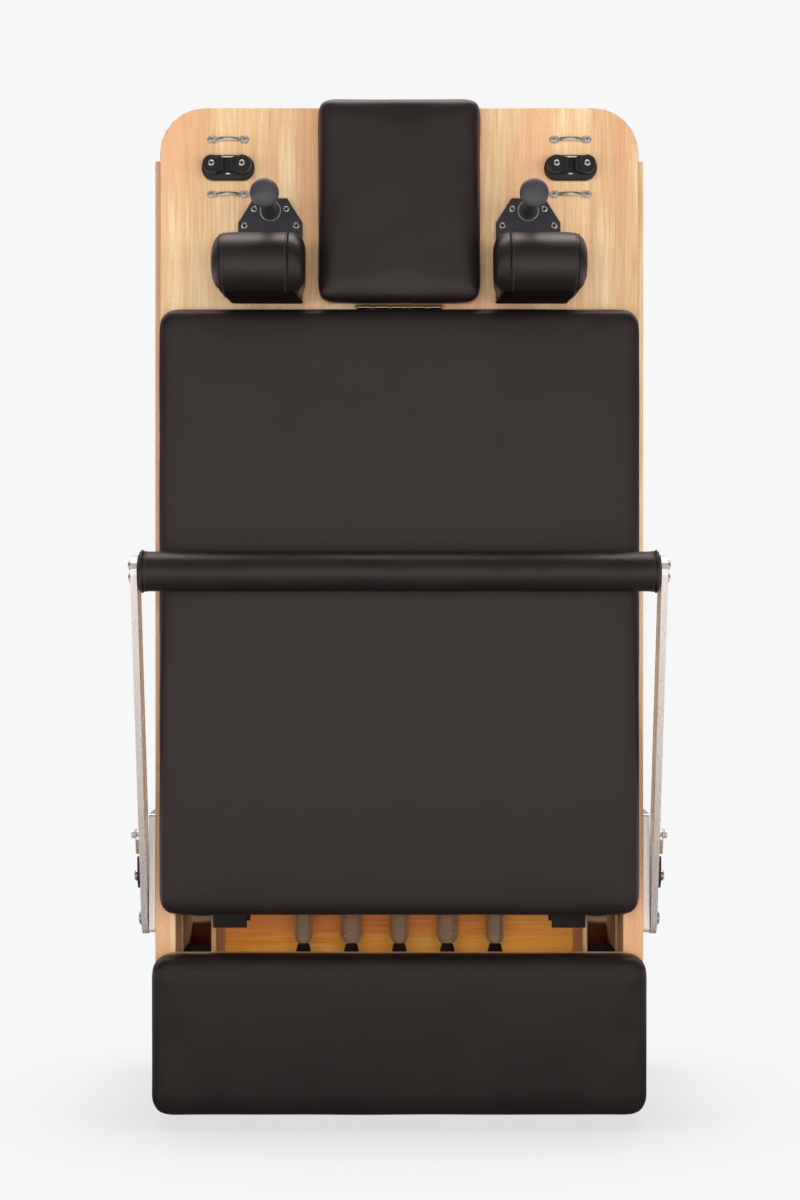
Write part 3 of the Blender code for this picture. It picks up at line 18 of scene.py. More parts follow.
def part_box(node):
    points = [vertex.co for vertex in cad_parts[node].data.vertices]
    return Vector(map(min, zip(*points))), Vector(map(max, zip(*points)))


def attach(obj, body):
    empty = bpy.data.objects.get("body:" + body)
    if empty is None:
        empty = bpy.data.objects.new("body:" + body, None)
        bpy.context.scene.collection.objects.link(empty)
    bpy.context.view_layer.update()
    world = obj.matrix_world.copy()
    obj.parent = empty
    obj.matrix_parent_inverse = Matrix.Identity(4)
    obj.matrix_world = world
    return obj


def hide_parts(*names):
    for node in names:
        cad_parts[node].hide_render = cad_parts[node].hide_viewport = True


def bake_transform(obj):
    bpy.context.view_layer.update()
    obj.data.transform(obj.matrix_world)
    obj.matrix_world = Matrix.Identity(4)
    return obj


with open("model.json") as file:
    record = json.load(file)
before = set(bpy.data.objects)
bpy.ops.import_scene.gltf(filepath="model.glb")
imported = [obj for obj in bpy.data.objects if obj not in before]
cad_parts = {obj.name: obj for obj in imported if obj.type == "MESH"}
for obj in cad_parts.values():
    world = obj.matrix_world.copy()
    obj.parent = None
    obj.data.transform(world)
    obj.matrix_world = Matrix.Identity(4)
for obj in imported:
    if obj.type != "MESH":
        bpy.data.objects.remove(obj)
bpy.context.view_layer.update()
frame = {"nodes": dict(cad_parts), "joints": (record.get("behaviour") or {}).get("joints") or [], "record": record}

bl_info = {
    "name": "Folding reformer looks",
    "version": (1, 0, 0),
    "blender": (4, 5, 0),
    "location": "3D View > Sidebar > Reformer",
    "description": "Finishes, cushions and small fittings of a folding pilates reformer",
    "category": "Object",
}

MM = 0.001
SIDES = (("left", -1), ("right", 1))
FRONT = (0, -1, 0)


def linear(hex_colour):
    """An sRGB hex value as a linear colour with full alpha."""
    channels = [int(hex_colour[i : i + 2], 16) / 255 for i in (1, 3, 5)]
    curved = [c / 12.92 if c <= 0.04045 else ((c + 0.055) / 1.055) ** 2.4 for c in channels]
    return (*curved, 1.0)


def length(name, description, default):
    """A length that a user may change."""
    return FloatProperty(
        name=name, description=description, default=default, unit="LENGTH", precision=5
    )


def amount(name, description, default):
    """A plain number that a user may change."""
    return FloatProperty(name=name, description=description, default=default)


def colour(name, description, default):
    """A colour that a user may change, its default given as an sRGB hex value."""
    return FloatVectorProperty(
        name=name,
        description=description,
        default=linear(default),
        subtype="COLOR",
        size=4,
        min=0,
        max=1,
    )


# Sizes and colours that a user would change


class WoodSettings(bpy.types.PropertyGroup):
    """The frame's rubberwood and the bottom panels' plywood."""

    light: colour("Light wood", "Palest early wood", "#e6caa0")
    middle: colour("Wood", "Most of the surface", "#d6ae7c")
    dark: colour("Dark wood", "Late wood and heart streaks", "#b98757")
    blush: colour("Blush wood", "Broad pinkish zones", "#d8a076")
    panel_light: colour("Light panel", "Palest bands of the bottom panels", "#ffb84e")
    panel_middle: colour("Panel", "Most of a bottom panel", "#ff9a20")
    panel_dark: colour("Dark panel", "Darkest bands of the bottom panels", "#dd7410")
    panel_blush: colour("Blush panel", "Broad deeper zones of the bottom panels", "#f6881c")
    stave: length("Stave width", "Width of the glued staves in a board", 0.071)
    figure: length("Figure width", "Width of one growth band", 0.019)
    fibre: length("Fibre width", "Width of one visible fibre bundle", 0.0024)


class LeatherSettings(bpy.types.PropertyGroup):
    """The black coated fabric of every cushion."""

    cover: colour("Cover", "Colour of the coated fabric", "#181312")
    thread: colour("Thread", "Colour of the sewing thread", "#2f2a28")
    pebble: length("Pebble", "Width of one embossed pebble", 0.0016)
    wrinkle: length("Wrinkle", "Distance between soft wrinkles", 0.055)
    stitch: length("Stitch", "From one stitch to the next", 0.0042)
    thread_width: length("Thread width", "Thickness of the drawn thread", 0.0009)


class MetalSettings(bpy.types.PropertyGroup):
    """Colours of the metal and plastic fittings."""

    brushed: colour("Brushed steel", "Arms and brackets", "#f6ebe3")
    chrome: colour("Chrome", "Bolts, screws and eye straps", "#d6d2ce")
    spring: colour("Spring steel", "The five springs", "#ffe6c8")
    bronze: colour("Bronze", "The headrest's hinge", "#dfcbae")
    brass: colour("Brass", "The hinge's leaf and pin ends", "#d8ae6c")
    strip: colour("Running strip", "Polished strips that the wheels run on", "#d2cbc4")
    painted: colour("Painted steel", "Shoulder plates", "#2d2b2e")
    oxide: colour("Black oxide", "Wheel beams and spring bar", "#0d0a08")
    nylon: colour("Nylon", "Cleats, pulleys and spring cups", "#121112")
    peg: colour("Peg", "The strap pegs on the shoulder plates", "#3a383b")
    tread: colour("Tread", "Polyurethane of the wheels", "#77787a")
    rubber: colour("Rubber", "The corner feet", "#1d1c1c")
    # Dead black sheet under the shoulder cushions: painted shade
    dust_cloth: colour("Dust cloth", "Under the shoulder cushions", "#050404")


class CushionSettings(bpy.types.PropertyGroup):
    """How the cushions are padded."""

    mesh_step: length("Mesh step", "Size of the simulated cover's cells", 0.0062)
    fine_step: length("Fine mesh step", "Cell size on the small shoulder cushions", 0.0036)
    start_in: length("Start inset", "How much smaller a cushion is before it is filled", 0.0022)
    swell: length("Swell", "The furthest that a flat cushion's cover is pushed out", 0.0018)
    bolster_swell: length("Bolster swell", "The same on a shoulder cushion", 0.0014)
    edge: length("Edge", "Radius of a cushion's front edge before it is filled", 0.012)
    pleat: length("Pleat", "Depth of the gathers at the corners", 0.0004)
    unevenness: length("Unevenness", "How far the foam's face wanders", 0.0005)
    pressure: amount("Pressure", "Pressure under the cover", 4.0)
    frames: IntProperty(name="Frames", description="Frames that the filling takes", default=20)


class SpringSettings(bpy.types.PropertyGroup):
    """The five springs' wire."""

    fine_pitch: length("Fine pitch", "From curl to curl on the three slim springs", 0.0021)
    coarse_pitch: length("Coarse pitch", "From curl to curl on the two stout springs", 0.0027)
    taper: length("Taper", "Height over which a spring narrows to its neck", 0.013)
    neck: length("Neck", "Radius of a spring's neck", 0.0042)
    points: IntProperty(name="Points", description="Points on one curl", default=14)


class StageSettings(bpy.types.PropertyGroup):
    """The camera, the floor and the lamps."""

    distance: length("Distance", "From the camera to the frame's middle", 2.8895)
    height: length("Height", "The camera's height", 0.662)
    shift: length("Across", "The camera's place across the frame", 0.0009)
    lens: amount("Lens", "Focal length in millimetres", 64.86)
    paper: colour("Paper", "The floor and the background", "#f7f7f7")
    shadow: amount("Shadow", "Depth of the shadow at the object's foot", 0.24)
    ambient: amount("Ambient", "Light from all round", 0.40)
    side_lamps: amount("Side lamps", "Watts of each lamp beside the camera", 25.0)
    front_lamp: amount("Front lamp", "Watts of the wide lamp at the camera", 59.0)
    top_lamp: amount("Top lamp", "Watts of the soft lamp overhead", 54.0)


SETTINGS = {
    "reformer_wood": WoodSettings,
    "reformer_leather": LeatherSettings,
    "reformer_metal": MetalSettings,
    "reformer_cushions": CushionSettings,
    "reformer_springs": SpringSettings,
    "reformer_stage": StageSettings,
}


def settings(group):
    """A group of settings as they stand now."""
    return getattr(bpy.context.scene, group)


# Materials


# The materials made so far, by the function and the choices that made each
FINISHES = {}


def finish(make, *choices):
    """Makes a finish once and hands out the same one afterwards."""
    key = (make, *choices)
    if key not in FINISHES:
        FINISHES[key] = make(*choices)
    return FINISHES[key]


def new_finish(name):
    """A material with its node tree and its Principled shader."""
    material = bpy.data.materials.new(name)
    material.use_nodes = True
    return material, material.node_tree, material.node_tree.nodes["Principled BSDF"]


def plug(tree, node, inputs):
    """Fills a node's inputs. One that is another node's output is linked, and a value is set."""
    for key, value in inputs.items():
        socket = node.inputs[key]
        if isinstance(value, bpy.types.NodeSocket):
            tree.links.new(value, socket)
        else:
            socket.default_value = value


def add_node(tree, kind, inputs=None, output=0, **choices):
    """Adds a node with its settings and links, and hands on one of its outputs."""
    node = tree.nodes.new(f"ShaderNode{kind}")
    for name, value in choices.items():
        setattr(node, name, value)
    plug(tree, node, inputs or {})
    return node.outputs[output]


def stretched(tree, along, across_size, along_size):
    """Object coordinates counted in grains, so long by so wide, each piece from its own place."""
    place = add_node(tree, "TexCoord", output="Object")
    own = add_node(tree, "ObjectInfo", output="Random")
    moved = add_node(tree, "VectorMath", {0: (3.1, 1.7, 2.3), "Scale": own}, operation="SCALE")
    shifted = add_node(tree, "VectorMath", {0: place, 1: moved}, operation="ADD")
    scale = [1 / across_size] * 3
    scale["XYZ".index(along)] = 1 / along_size
    return add_node(tree, "Mapping", {"Vector": shifted, "Scale": scale})


def edge_mask(tree, radius):
    """1 on a piece's edges and 0 on its faces, with the rounded normal that an edge really has."""
    rounded = add_node(tree, "Bevel", {"Radius": radius}, samples=4)
    flat = add_node(tree, "NewGeometry", output="Normal")
    same = add_node(tree, "VectorMath", {0: rounded, 1: flat}, "Value", operation="DOT_PRODUCT")
    return add_node(tree, "MapRange", {"Value": same, 1: 0.995, 2: 0.86, 3: 0.0, 4: 1.0}), rounded


def wood(name, grain, kind=""):
    """Shared build of the two woods: growth figure, fibres, pores and glued staves."""
    choices = settings("reformer_wood")
    tones = ("light", "middle", "dark", "blush")
    light, middle, dark, blush = (getattr(choices, kind + tone) for tone in tones)
    material, tree, shader = new_finish(name)
    figure, fibres, pore_field, clouds = (
        add_node(tree, "TexNoise", {"Vector": stretched(tree, grain, *size), "Scale": 1.0, **more})
        for size, more in (
            ((choices.figure, 0.36), {"Detail": 4.0, "Roughness": 0.55, "Distortion": 0.45}),
            ((choices.fibre, 0.075), {"Detail": 3.0}),
            # Real pores are 0.2 mm wide; they are drawn 1 mm wide so that they show at all
            ((1.0 * MM, 9 * MM), {"Detail": 1.0}),
            ((0.052, 0.42), {"Detail": 2.0}),
        )
    )
    pores = add_node(tree, "MapRange", {"Value": pore_field, 1: 0.62, 2: 0.72, 3: 0.0, 4: 1.0})
    mixed = add_node(tree, "Math", {0: figure, 1: fibres}, operation="ADD")
    toned = add_node(tree, "Math", {0: mixed, 1: clouds}, operation="ADD")
    tone = add_node(tree, "Math", {0: toned, 1: 3.0}, operation="DIVIDE")
    ramp = add_node(tree, "ValToRGB", {"Fac": tone})
    stops = ramp.node.color_ramp.elements
    stops.new(0.50)
    for stop, position, shade in zip(stops, (0.38, 0.50, 0.64), (light, middle, dark)):
        stop.position, stop.color = position, shade
    zone = add_node(tree, "MapRange", {"Value": clouds, 1: 0.47, 2: 0.62, 3: 0.0, 4: 0.62})
    zoned = add_node(tree, "Mix", {0: zone, 6: ramp, 7: blush}, 2, data_type="RGBA")
    # The staves are glued across the board, so their tints change along its width
    board = stretched(tree, "Y", choices.stave, 1.0)
    across = add_node(tree, "SeparateXYZ", {0: board}, "Z" if grain == "X" else "X")
    stave = add_node(tree, "Math", {0: across}, operation="FLOOR")
    chance = add_node(tree, "TexWhiteNoise", {"W": stave}, "Value", noise_dimensions="1D")
    tint = add_node(tree, "MapRange", {"Value": chance, 3: 0.93, 4: 1.05})
    tinted = add_node(tree, "VectorMath", {0: zoned, "Scale": tint}, operation="SCALE")
    # A painted highlight: the wood is drawn paler along its edges, where a rounded edge catches the light
    edges, rounded = edge_mask(tree, 1.6 * MM)
    lightening = add_node(tree, "Math", {0: edges, 1: 0.35}, operation="MULTIPLY")
    pale = linear("#f3d9b8")
    lighter = add_node(tree, "Mix", {0: lightening, 6: tinted, 7: pale}, 2, data_type="RGBA")
    sunk = add_node(tree, "Math", {0: pores, 1: 0.5}, operation="MULTIPLY")
    shade = add_node(tree, "Mix", {0: sunk, 6: lighter, 7: dark}, 2, data_type="RGBA")
    sheen = add_node(tree, "MapRange", {"Value": fibres, 3: 0.36, 4: 0.52})
    height = add_node(tree, "Math", {0: fibres, 1: pores}, operation="SUBTRACT")
    bump = {"Height": height, "Strength": 0.12, "Distance": 0.2 * MM, "Normal": rounded}
    relief = add_node(tree, "Bump", bump)
    plug(tree, shader, {"Base Color": shade, "Roughness": sheen, "Normal": relief, "IOR": 1.5})
    plug(tree, shader, {"Coat Weight": 0.22, "Coat Roughness": 0.28})
    return material


def lacquered_rubberwood(grain):
    """Rubberwood, planed and clear lacquered: honey bands, short pores and a satin shine."""
    return wood(f"Rubberwood, clear lacquered, grain along {grain}", grain)


def carbonised_plywood(grain):
    """Steamed bamboo ply, sanded and oiled: a deeper orange with close straight bands."""
    return wood(f"Steamed ply, oiled, grain along {grain}", grain, "panel_")


def coated_leatherette():
    """Polyurethane-coated fabric, embossed: near black, a fine pebble and a soft broad shine."""
    cover = settings("reformer_leather")
    material, tree, shader = new_finish("Leatherette, embossed")
    place = add_node(tree, "TexCoord", output="Object")
    grain = {"Vector": place, "Scale": 1 / cover.pebble, "Smoothness": 0.6, "Randomness": 0.9}
    pebbles = add_node(tree, "TexVoronoi", grain, "Distance", feature="SMOOTH_F1")
    folds = {"Vector": place, "Scale": 1 / cover.wrinkle, "Detail": 4.0, "Roughness": 0.5}
    creases = add_node(tree, "TexNoise", folds)
    sheen = add_node(tree, "MapRange", {"Value": creases, 1: 0.3, 2: 0.7, 3: 0.38, 4: 0.46})
    worn = add_node(tree, "MapRange", {"Value": creases, 1: 0.35, 2: 0.7, 3: 0.0, 4: 0.16})
    lightening = linear("#2b2422")
    shade = add_node(tree, "Mix", {0: worn, 6: cover.cover, 7: lightening}, 2, data_type="RGBA")
    soft = add_node(tree, "Bump", {"Height": creases, "Strength": 0.25, "Distance": 1.2 * MM})
    skin = {"Height": pebbles, "Strength": 0.30, "Distance": 0.12 * MM, "Normal": soft}
    relief = add_node(tree, "Bump", skin)
    plug(tree, shader, {"Base Color": shade, "Roughness": sheen, "Normal": relief, "IOR": 1.55})
    plug(tree, shader, {"Specular Tint": linear("#fff0ea")})
    return material


def sewing_thread():
    """Bonded polyester thread, twisted: dull black with a fine rope twist."""
    cover = settings("reformer_leather")
    material, tree, shader = new_finish("Polyester thread, twisted")
    place = add_node(tree, "TexCoord", output="Object")
    plies = {"Vector": place, "Scale": 1 / (2.2 * MM), "Distortion": 1.0}
    twist = add_node(tree, "TexWave", plies, "Fac", bands_direction="DIAGONAL")
    worn = linear("#463f3b")
    shade = add_node(tree, "Mix", {0: twist, 6: cover.thread, 7: worn}, 2, data_type="RGBA")
    relief = add_node(tree, "Bump", {"Height": twist, "Strength": 0.5, "Distance": 0.1 * MM})
    plug(tree, shader, {"Base Color": shade, "Roughness": 0.62, "Normal": relief})
    return material


def metal(name, tone, rough, streaks, depth, recess, bare=1.0):
    """A bare metal: streaks as axis, width and length; bare is its metallic; recess, how far painted shade reaches
    into hollows.
    """
    shade = getattr(settings("reformer_metal"), tone)
    material, tree, shader = new_finish(name)
    lines, smudges = (
        add_node(tree, "TexNoise", {"Vector": stretched(tree, *size), "Scale": 1.0, "Detail": 2.0})
        for size in (streaks, ("Z", 0.03, 0.03))
    )
    both = add_node(tree, "Math", {0: lines, 1: smudges}, operation="ADD")
    polish = add_node(tree, "MapRange", {"Value": both, 1: 0.7, 2: 1.3, 3: rough[0], 4: rough[1]})
    rounded = add_node(tree, "Bevel", {"Radius": 0.5 * MM}, samples=4)
    bump = {"Height": lines, "Strength": depth, "Distance": 0.05 * MM, "Normal": rounded}
    relief = add_node(tree, "Bump", bump)
    dulled = [channel * 0.92 for channel in shade[:3]] + [1.0]
    toned = add_node(tree, "Mix", {0: lines, 6: shade, 7: dulled}, 2, data_type="RGBA")
    # Painted shade: sockets and the gaps between curls are drawn dark, as far into a recess as the occlusion
    # reaches
    around = {"Distance": recess}
    open_share = add_node(tree, "AmbientOcclusion", around, "AO", samples=8, only_local=True)
    unshaded = add_node(tree, "MapRange", {"Value": open_share, 1: 0.25, 2: 0.8, 3: 0.0, 4: 1.0})
    painted_shade = linear("#2a2521")
    shown = add_node(tree, "Mix", {0: unshaded, 6: painted_shade, 7: toned}, 2, data_type="RGBA")
    plug(tree, shader, {"Base Color": shown, "Roughness": polish, "Normal": relief})
    plug(tree, shader, {"Metallic": bare})
    return material


def brushed_steel():
    """Stainless flat bar, brushed along its length: pale and warm, with fine lengthwise lines."""
    # Brush lines are 0.1 mm wide; they are drawn 2.4 mm wide, since finer ones turn to speckle
    lines = ("Z", 2.4 * MM, 200 * MM)
    name = "Stainless steel, brushed"
    return metal(name, "brushed", (0.24, 0.34), lines, 0.04, recess=2 * MM, bare=0.68)


def bright_chrome():
    """Chrome plate on turned steel: a mirror with faint turning marks."""
    marks = ("Z", 1.5 * MM, 1.5 * MM)
    return metal("Chrome, plated", "chrome", (0.12, 0.24), marks, 0.06, recess=2.5 * MM, bare=0.85)


def spring_steel():
    """Music wire, drawn and nickel plated: bright, its haze scatters light like paint."""
    haze = ("Z", 3 * MM, 12 * MM)
    name = "Spring wire, nickel plated"
    return metal(name, "spring", (0.14, 0.24), haze, 0.03, recess=0.6 * MM, bare=0.82)


def bronzed_steel():
    """Bronze-plated steel, rolled and tumbled: brown-grey with a worn polish."""
    marks = ("X", 1 * MM, 12 * MM)
    return metal("Bronze, plated", "bronze", (0.16, 0.28), marks, 0.08, recess=0.5 * MM)


def yellow_brass():
    """Brass, stamped: warm yellow with a soft polish."""
    marks = ("X", 1 * MM, 10 * MM)
    return metal("Brass, stamped", "brass", (0.25, 0.40), marks, 0.10, recess=0.8 * MM, bare=0.75)


def polished_strip():
    """Aluminium flat strip, extruded: die lines along it under a soft mirror."""
    # Die lines are drawn 1.2 mm wide so that they show along the strip
    lines = ("Z", 1.2 * MM, 0.5)
    return metal("Aluminium strip, extruded", "strip", (0.03, 0.07), lines, 0.04, recess=1 * MM)


def matt_skin(name, tone, rough, grain, depth, ior=1.5):
    """A moulded or sprayed skin: one colour broken by a fine even texture."""
    shade = getattr(settings("reformer_metal"), tone)
    material, tree, shader = new_finish(name)
    place = add_node(tree, "TexCoord", output="Object")
    skin, cast = (
        add_node(tree, "TexNoise", {"Vector": place, "Scale": 1 / size, "Detail": detail})
        for size, detail in ((grain, 3.0), (18 * MM, 2.0))
    )
    spread = {"Value": cast, 1: 0.3, 2: 0.7, 3: rough - 0.06, 4: rough + 0.06}
    sheen = add_node(tree, "MapRange", spread)
    # A painted highlight: the skin is drawn paler along its edges, where a rounded edge catches the light
    edges, rounded = edge_mask(tree, 0.6 * MM)
    lightening = add_node(tree, "Math", {0: edges, 1: 0.3}, operation="MULTIPLY")
    paler = [min(1.0, channel * 2.2 + 0.01) for channel in shade[:3]] + [1.0]
    toned = add_node(tree, "Mix", {0: lightening, 6: shade, 7: paler}, 2, data_type="RGBA")
    bump = {"Height": skin, "Strength": depth, "Distance": 0.1 * MM, "Normal": rounded}
    relief = add_node(tree, "Bump", bump)
    plug(tree, shader, {"Base Color": toned, "Roughness": sheen, "Normal": relief, "IOR": ior})
    return material


def painted_steel():
    """Steel plate, powder coated: charcoal with a slight orange peel."""
    return matt_skin("Steel, powder coated", "painted", 0.46, grain=1.6 * MM, depth=0.35)


def blackened_steel():
    """Steel, blackened in a hot bath and oiled: almost black with a low shine."""
    return matt_skin("Steel, black oxide", "oxide", 0.56, grain=1.1 * MM, depth=0.2)


def moulded_nylon():
    """Nylon, injection moulded: black with a spark-eroded matt skin."""
    return matt_skin("Nylon, moulded", "nylon", 0.42, grain=0.8 * MM, depth=0.25)


def moulded_peg():
    """Glass-filled nylon, injection moulded: dark grey and smoother than the cleats."""
    return matt_skin("Filled nylon, moulded", "peg", 0.44, grain=0.9 * MM, depth=0.15)


def cast_polyurethane():
    """Polyurethane tread, cast: mid grey and slightly waxy."""
    return matt_skin("Polyurethane, cast", "tread", 0.48, grain=1.2 * MM, depth=0.2)


def moulded_rubber():
    """Rubber, compression moulded: black and nearly without shine."""
    return matt_skin("Rubber, moulded", "rubber", 0.74, grain=1.0 * MM, depth=0.4)


def dust_cloth():
    """A dead black sheet with a coarse felt under each shoulder cushion: painted shade where the cushions'
    undersides lie in shadow.
    """
    return matt_skin("Dust cloth, unwoven", "dust_cloth", 0.92, grain=1.3 * MM, depth=0.6, ior=1.25)


# Shapes


def in_mm(pairs):
    """Pairs of millimetres as pairs of metres."""
    return [(first * MM, second * MM) for first, second in pairs]


def hexagon(turn):
    """The radius of a hexagon at an angle, as a share of its corner radius."""
    side = math.pi / 3
    return math.cos(side / 2) / math.cos(turn % side - side / 2)


def cross(turn):
    """The radius of a cross-shaped recess at an angle, as a share of its reach."""
    return 0.32 + 0.68 * abs(math.cos(2 * turn)) ** 6


class Form:
    """Points and faces of one piece, gathered from turned, swept and bent shapes."""

    def __init__(self):
        self.points = []
        self.faces = []

    def join_rings(self, rings, closed_ends=True):
        """Skins rings of equally many points, and closes the first and the last if asked to."""
        first = len(self.points)
        count = len(rings[0])
        for ring in rings:
            self.points.extend(tuple(point) for point in ring)
        for number in range(len(rings) - 1):
            near = first + number * count
            for i in range(count):
                after = (i + 1) % count
                self.faces.append((near + i, near + after, near + count + after, near + count + i))
        if closed_ends:
            last = first + (len(rings) - 1) * count
            self.faces.append(tuple(range(first, first + count)))
            self.faces.append(tuple(range(last, last + count)))

    def turn(self, profile, place, direction, steps=24):
        """A turned shape. A profile point is a radius, a height and perhaps a cross-section."""
        axis = Vector(direction).normalized()
        side = axis.orthogonal().normalized()
        other = axis.cross(side)
        rings = []
        for radius, height, *section in profile:
            ring = []
            for i in range(steps):
                turn = 2 * math.pi * i / steps
                reach = radius * (section[0](turn) if section else 1.0)
                spoke = side * math.cos(turn) + other * math.sin(turn)
                ring.append(Vector(place) + axis * height + spoke * reach)
            rings.append(ring)
        self.join_rings(rings)

    def sweep(self, path, section, reference, scales=None):
        """A section of (out, up) points carried along a path; up leans towards the reference."""
        line = np.array(path, float)
        tangent = np.gradient(line, axis=0)
        tangent /= np.linalg.norm(tangent, axis=1)[:, None]
        out = np.cross(tangent, np.array(reference, float))
        out /= np.linalg.norm(out, axis=1)[:, None]
        up = np.cross(out, tangent)
        offsets = np.array(section, float)
        sizes = np.ones((len(line), 2)) if scales is None else np.array(scales, float)
        rings = []
        for here, side, rise, (wide, tall) in zip(line, out, up, sizes):
            spread = np.outer(offsets[:, 0] * wide, side)
            rings.append(here + spread + np.outer(offsets[:, 1] * tall, rise))
        self.join_rings(rings)

    def slab(self, outline, axis, low, high):
        """A flat plate: an outline pushed along X, Y or Z from low to high."""
        position = "XYZ".index(axis)
        rings = []
        for level in (low, high):
            ring = []
            for first, second in outline:
                point = [first, second]
                point.insert(position, level)
                ring.append(point)
            rings.append(ring)
        self.join_rings(rings)

    def plate(self, centre, half_width, half_height, corner, levels, steps):
        """A rounded plate on a board, each of its levels an inset and a height off the board."""
        rings = []
        for inset, out in levels:
            wide, tall, radius = half_width - inset, half_height - inset, corner - inset
            outline = rounded_outline(wide, tall, radius, steps)
            rings.append([(centre[0] + x, centre[1] - out, centre[2] + z) for x, z in outline])
        self.join_rings(rings)

    def box(self, low, high):
        """A straight block between two corners."""
        outline = [(low[0], low[1]), (high[0], low[1]), (high[0], high[1]), (low[0], high[1])]
        self.slab(outline, "Z", low[2], high[2])

    def mesh(self, name):
        """A mesh of the points and faces."""
        mesh = bpy.data.meshes.new(name)
        mesh.from_pydata(self.points, [], self.faces)
        return mesh


def round_section(radius, sides=6):
    """The section of a wire or a thread."""
    turns = [2 * math.pi * i / sides for i in range(sides)]
    return [(radius * math.cos(turn), radius * math.sin(turn)) for turn in turns]


def arc(centre, radius, start, end, steps):
    """Points on an arc, its angles in degrees."""
    turns = [math.radians(start + (end - start) * i / steps) for i in range(steps + 1)]
    return [(centre[0] + radius * math.cos(t), centre[1] + radius * math.sin(t)) for t in turns]


def rounded_outline(half_width, half_height, corner, steps=8):
    """A rounded rectangle about the origin."""
    across, up = half_width - corner, half_height - corner
    points = []
    corners = ((across, -up, -90), (across, up, 0), (-across, up, 90), (-across, -up, 180))
    for x, z, start in corners:
        points += arc((x, z), corner, start, start + 90, steps)
    return points


def add_object(name, data):
    """A new object in the scene."""
    added = bpy.data.objects.new(name, data)
    bpy.context.scene.collection.objects.link(added)
    return added


def shade_to(mesh, crease):
    """Shades a mesh smooth, but for edges that turn more than so many degrees."""
    mesh.shade_smooth()
    mesh.set_sharp_from_angle(angle=math.radians(crease))


def make_piece(name, form, make, body=None, crease=38):
    """Turns a form into a named piece with its finish, which rides on a body."""
    mesh = form.mesh(name)
    work = bmesh.new()
    work.from_mesh(mesh)
    bmesh.ops.remove_doubles(work, verts=work.verts, dist=1e-6)
    bmesh.ops.recalc_face_normals(work, faces=work.faces[:])
    work.to_mesh(mesh)
    work.free()
    shade_to(mesh, crease)
    mesh.materials.append(finish(make))
    piece = add_object(name, mesh)
    if body:
        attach(piece, body)
    return piece


def apply_modifiers(piece):
    """Bakes a piece's modifiers into its mesh."""
    bpy.context.view_layer.update()
    shaped = piece.evaluated_get(bpy.context.evaluated_depsgraph_get())
    mesh = bpy.data.meshes.new_from_object(shaped)
    piece.modifiers.clear()
    piece.data = mesh


def soften_edges(piece, width, segments=3):
    """Rounds a piece's sharp edges."""
    bevel = piece.modifiers.new("Rounded edges", "BEVEL")
    bevel.width = width
    bevel.segments = segments
    bevel.limit_method = "ANGLE"
    bevel.angle_limit = math.radians(35)
    apply_modifiers(piece)
    shade_to(piece.data, 30)


def socket_screw(form, place, direction, radius, rise, steps=24):
    """A button-headed screw with a hexagon socket."""
    socket = radius * 0.52
    dome = ((1, 0), (1, 0.2), (0.95, 0.52), (0.82, 0.82), (0.66, 1))
    profile = [(radius * share, rise * height) for share, height in dome]
    profile += [(socket, rise, hexagon), (socket * 0.96, rise * 0.12, hexagon)]
    profile.append((socket * 0.15, -rise * 0.1))
    form.turn(profile, place, direction, steps)


def cross_screw(form, place, direction, radius, rise, steps=24):
    """A pan-headed screw with a cross recess."""
    pan = ((1, 0), (1, 0.35), (0.86, 0.85), (0.72, 1))
    profile = [(radius * share, rise * height) for share, height in pan]
    profile += [(radius * 0.66, rise, cross), (radius * 0.40, rise * 0.3, cross)]
    form.turn(profile, place, direction, steps)


def dress(nodes, make, *choices):
    """Gives CAD nodes a finish."""
    for node in nodes:
        for place in frame["nodes"][node].material_slots:
            place.material = finish(make, *choices)


def nodes_of_slot(slot):
    """The CAD nodes whose record names a material slot."""
    return [part["node"] for part in frame["record"]["subparts"] if part["material_slot"] == slot]


# Cushions


def even_out(piece, rounds):
    """Smooths a cover's cells."""
    smooth = piece.modifiers.new("Even out", "SMOOTH")
    smooth.factor = 0.5
    smooth.iterations = rounds


def even_cover(piece, step, rounds=4):
    """Rebuilds a closed form as even cells, ready for the cover to be filled."""
    remesh = piece.modifiers.new("Even cells", "REMESH")
    remesh.mode = "VOXEL"
    remesh.voxel_size = step
    even_out(piece, rounds)
    apply_modifiers(piece)


def vertex_array(mesh, value="co"):
    """The places of a mesh's points, or their normals."""
    points = np.empty(len(mesh.vertices) * 3)
    mesh.vertices.foreach_get(value, points)
    return points.reshape(-1, 3)


def move_points(piece, points):
    """Puts a piece's points in new places."""
    piece.data.vertices.foreach_set("co", points.ravel())
    piece.data.update()


def fill_cover(piece, back_y, furthest):
    """Blows the cover up like cloth round foam, holding its back and capping its travel."""
    choices = settings("reformer_cushions")
    start = vertex_array(piece.data)
    held = piece.vertex_groups.new(name="Held")
    held_depth = 2.5 * MM
    at_back = [int(i) for i in np.nonzero(start[:, 1] > back_y - held_depth)[0]]
    held.add(at_back, 1.0, "REPLACE")
    cloth = piece.modifiers.new("Cover", "CLOTH")
    cloth.settings.quality = 4
    cloth.settings.use_pressure = True
    cloth.settings.uniform_pressure_force = choices.pressure
    cloth.settings.effector_weights.gravity = 0.0
    cloth.settings.vertex_group_mass = held.name
    cloth.point_cache.frame_start = 1
    cloth.point_cache.frame_end = choices.frames
    for number in range(1, choices.frames + 1):
        bpy.context.scene.frame_set(number)
    swollen = piece.evaluated_get(bpy.context.evaluated_depsgraph_get())
    travel = vertex_array(swollen.data) - start
    piece.modifiers.clear()
    piece.vertex_groups.clear()
    bpy.context.scene.frame_set(1)
    far = np.linalg.norm(travel, axis=1)[:, None]
    kept = furthest * np.tanh(far / furthest)
    move_points(piece, start + travel * (kept / np.maximum(far, 1e-9)))


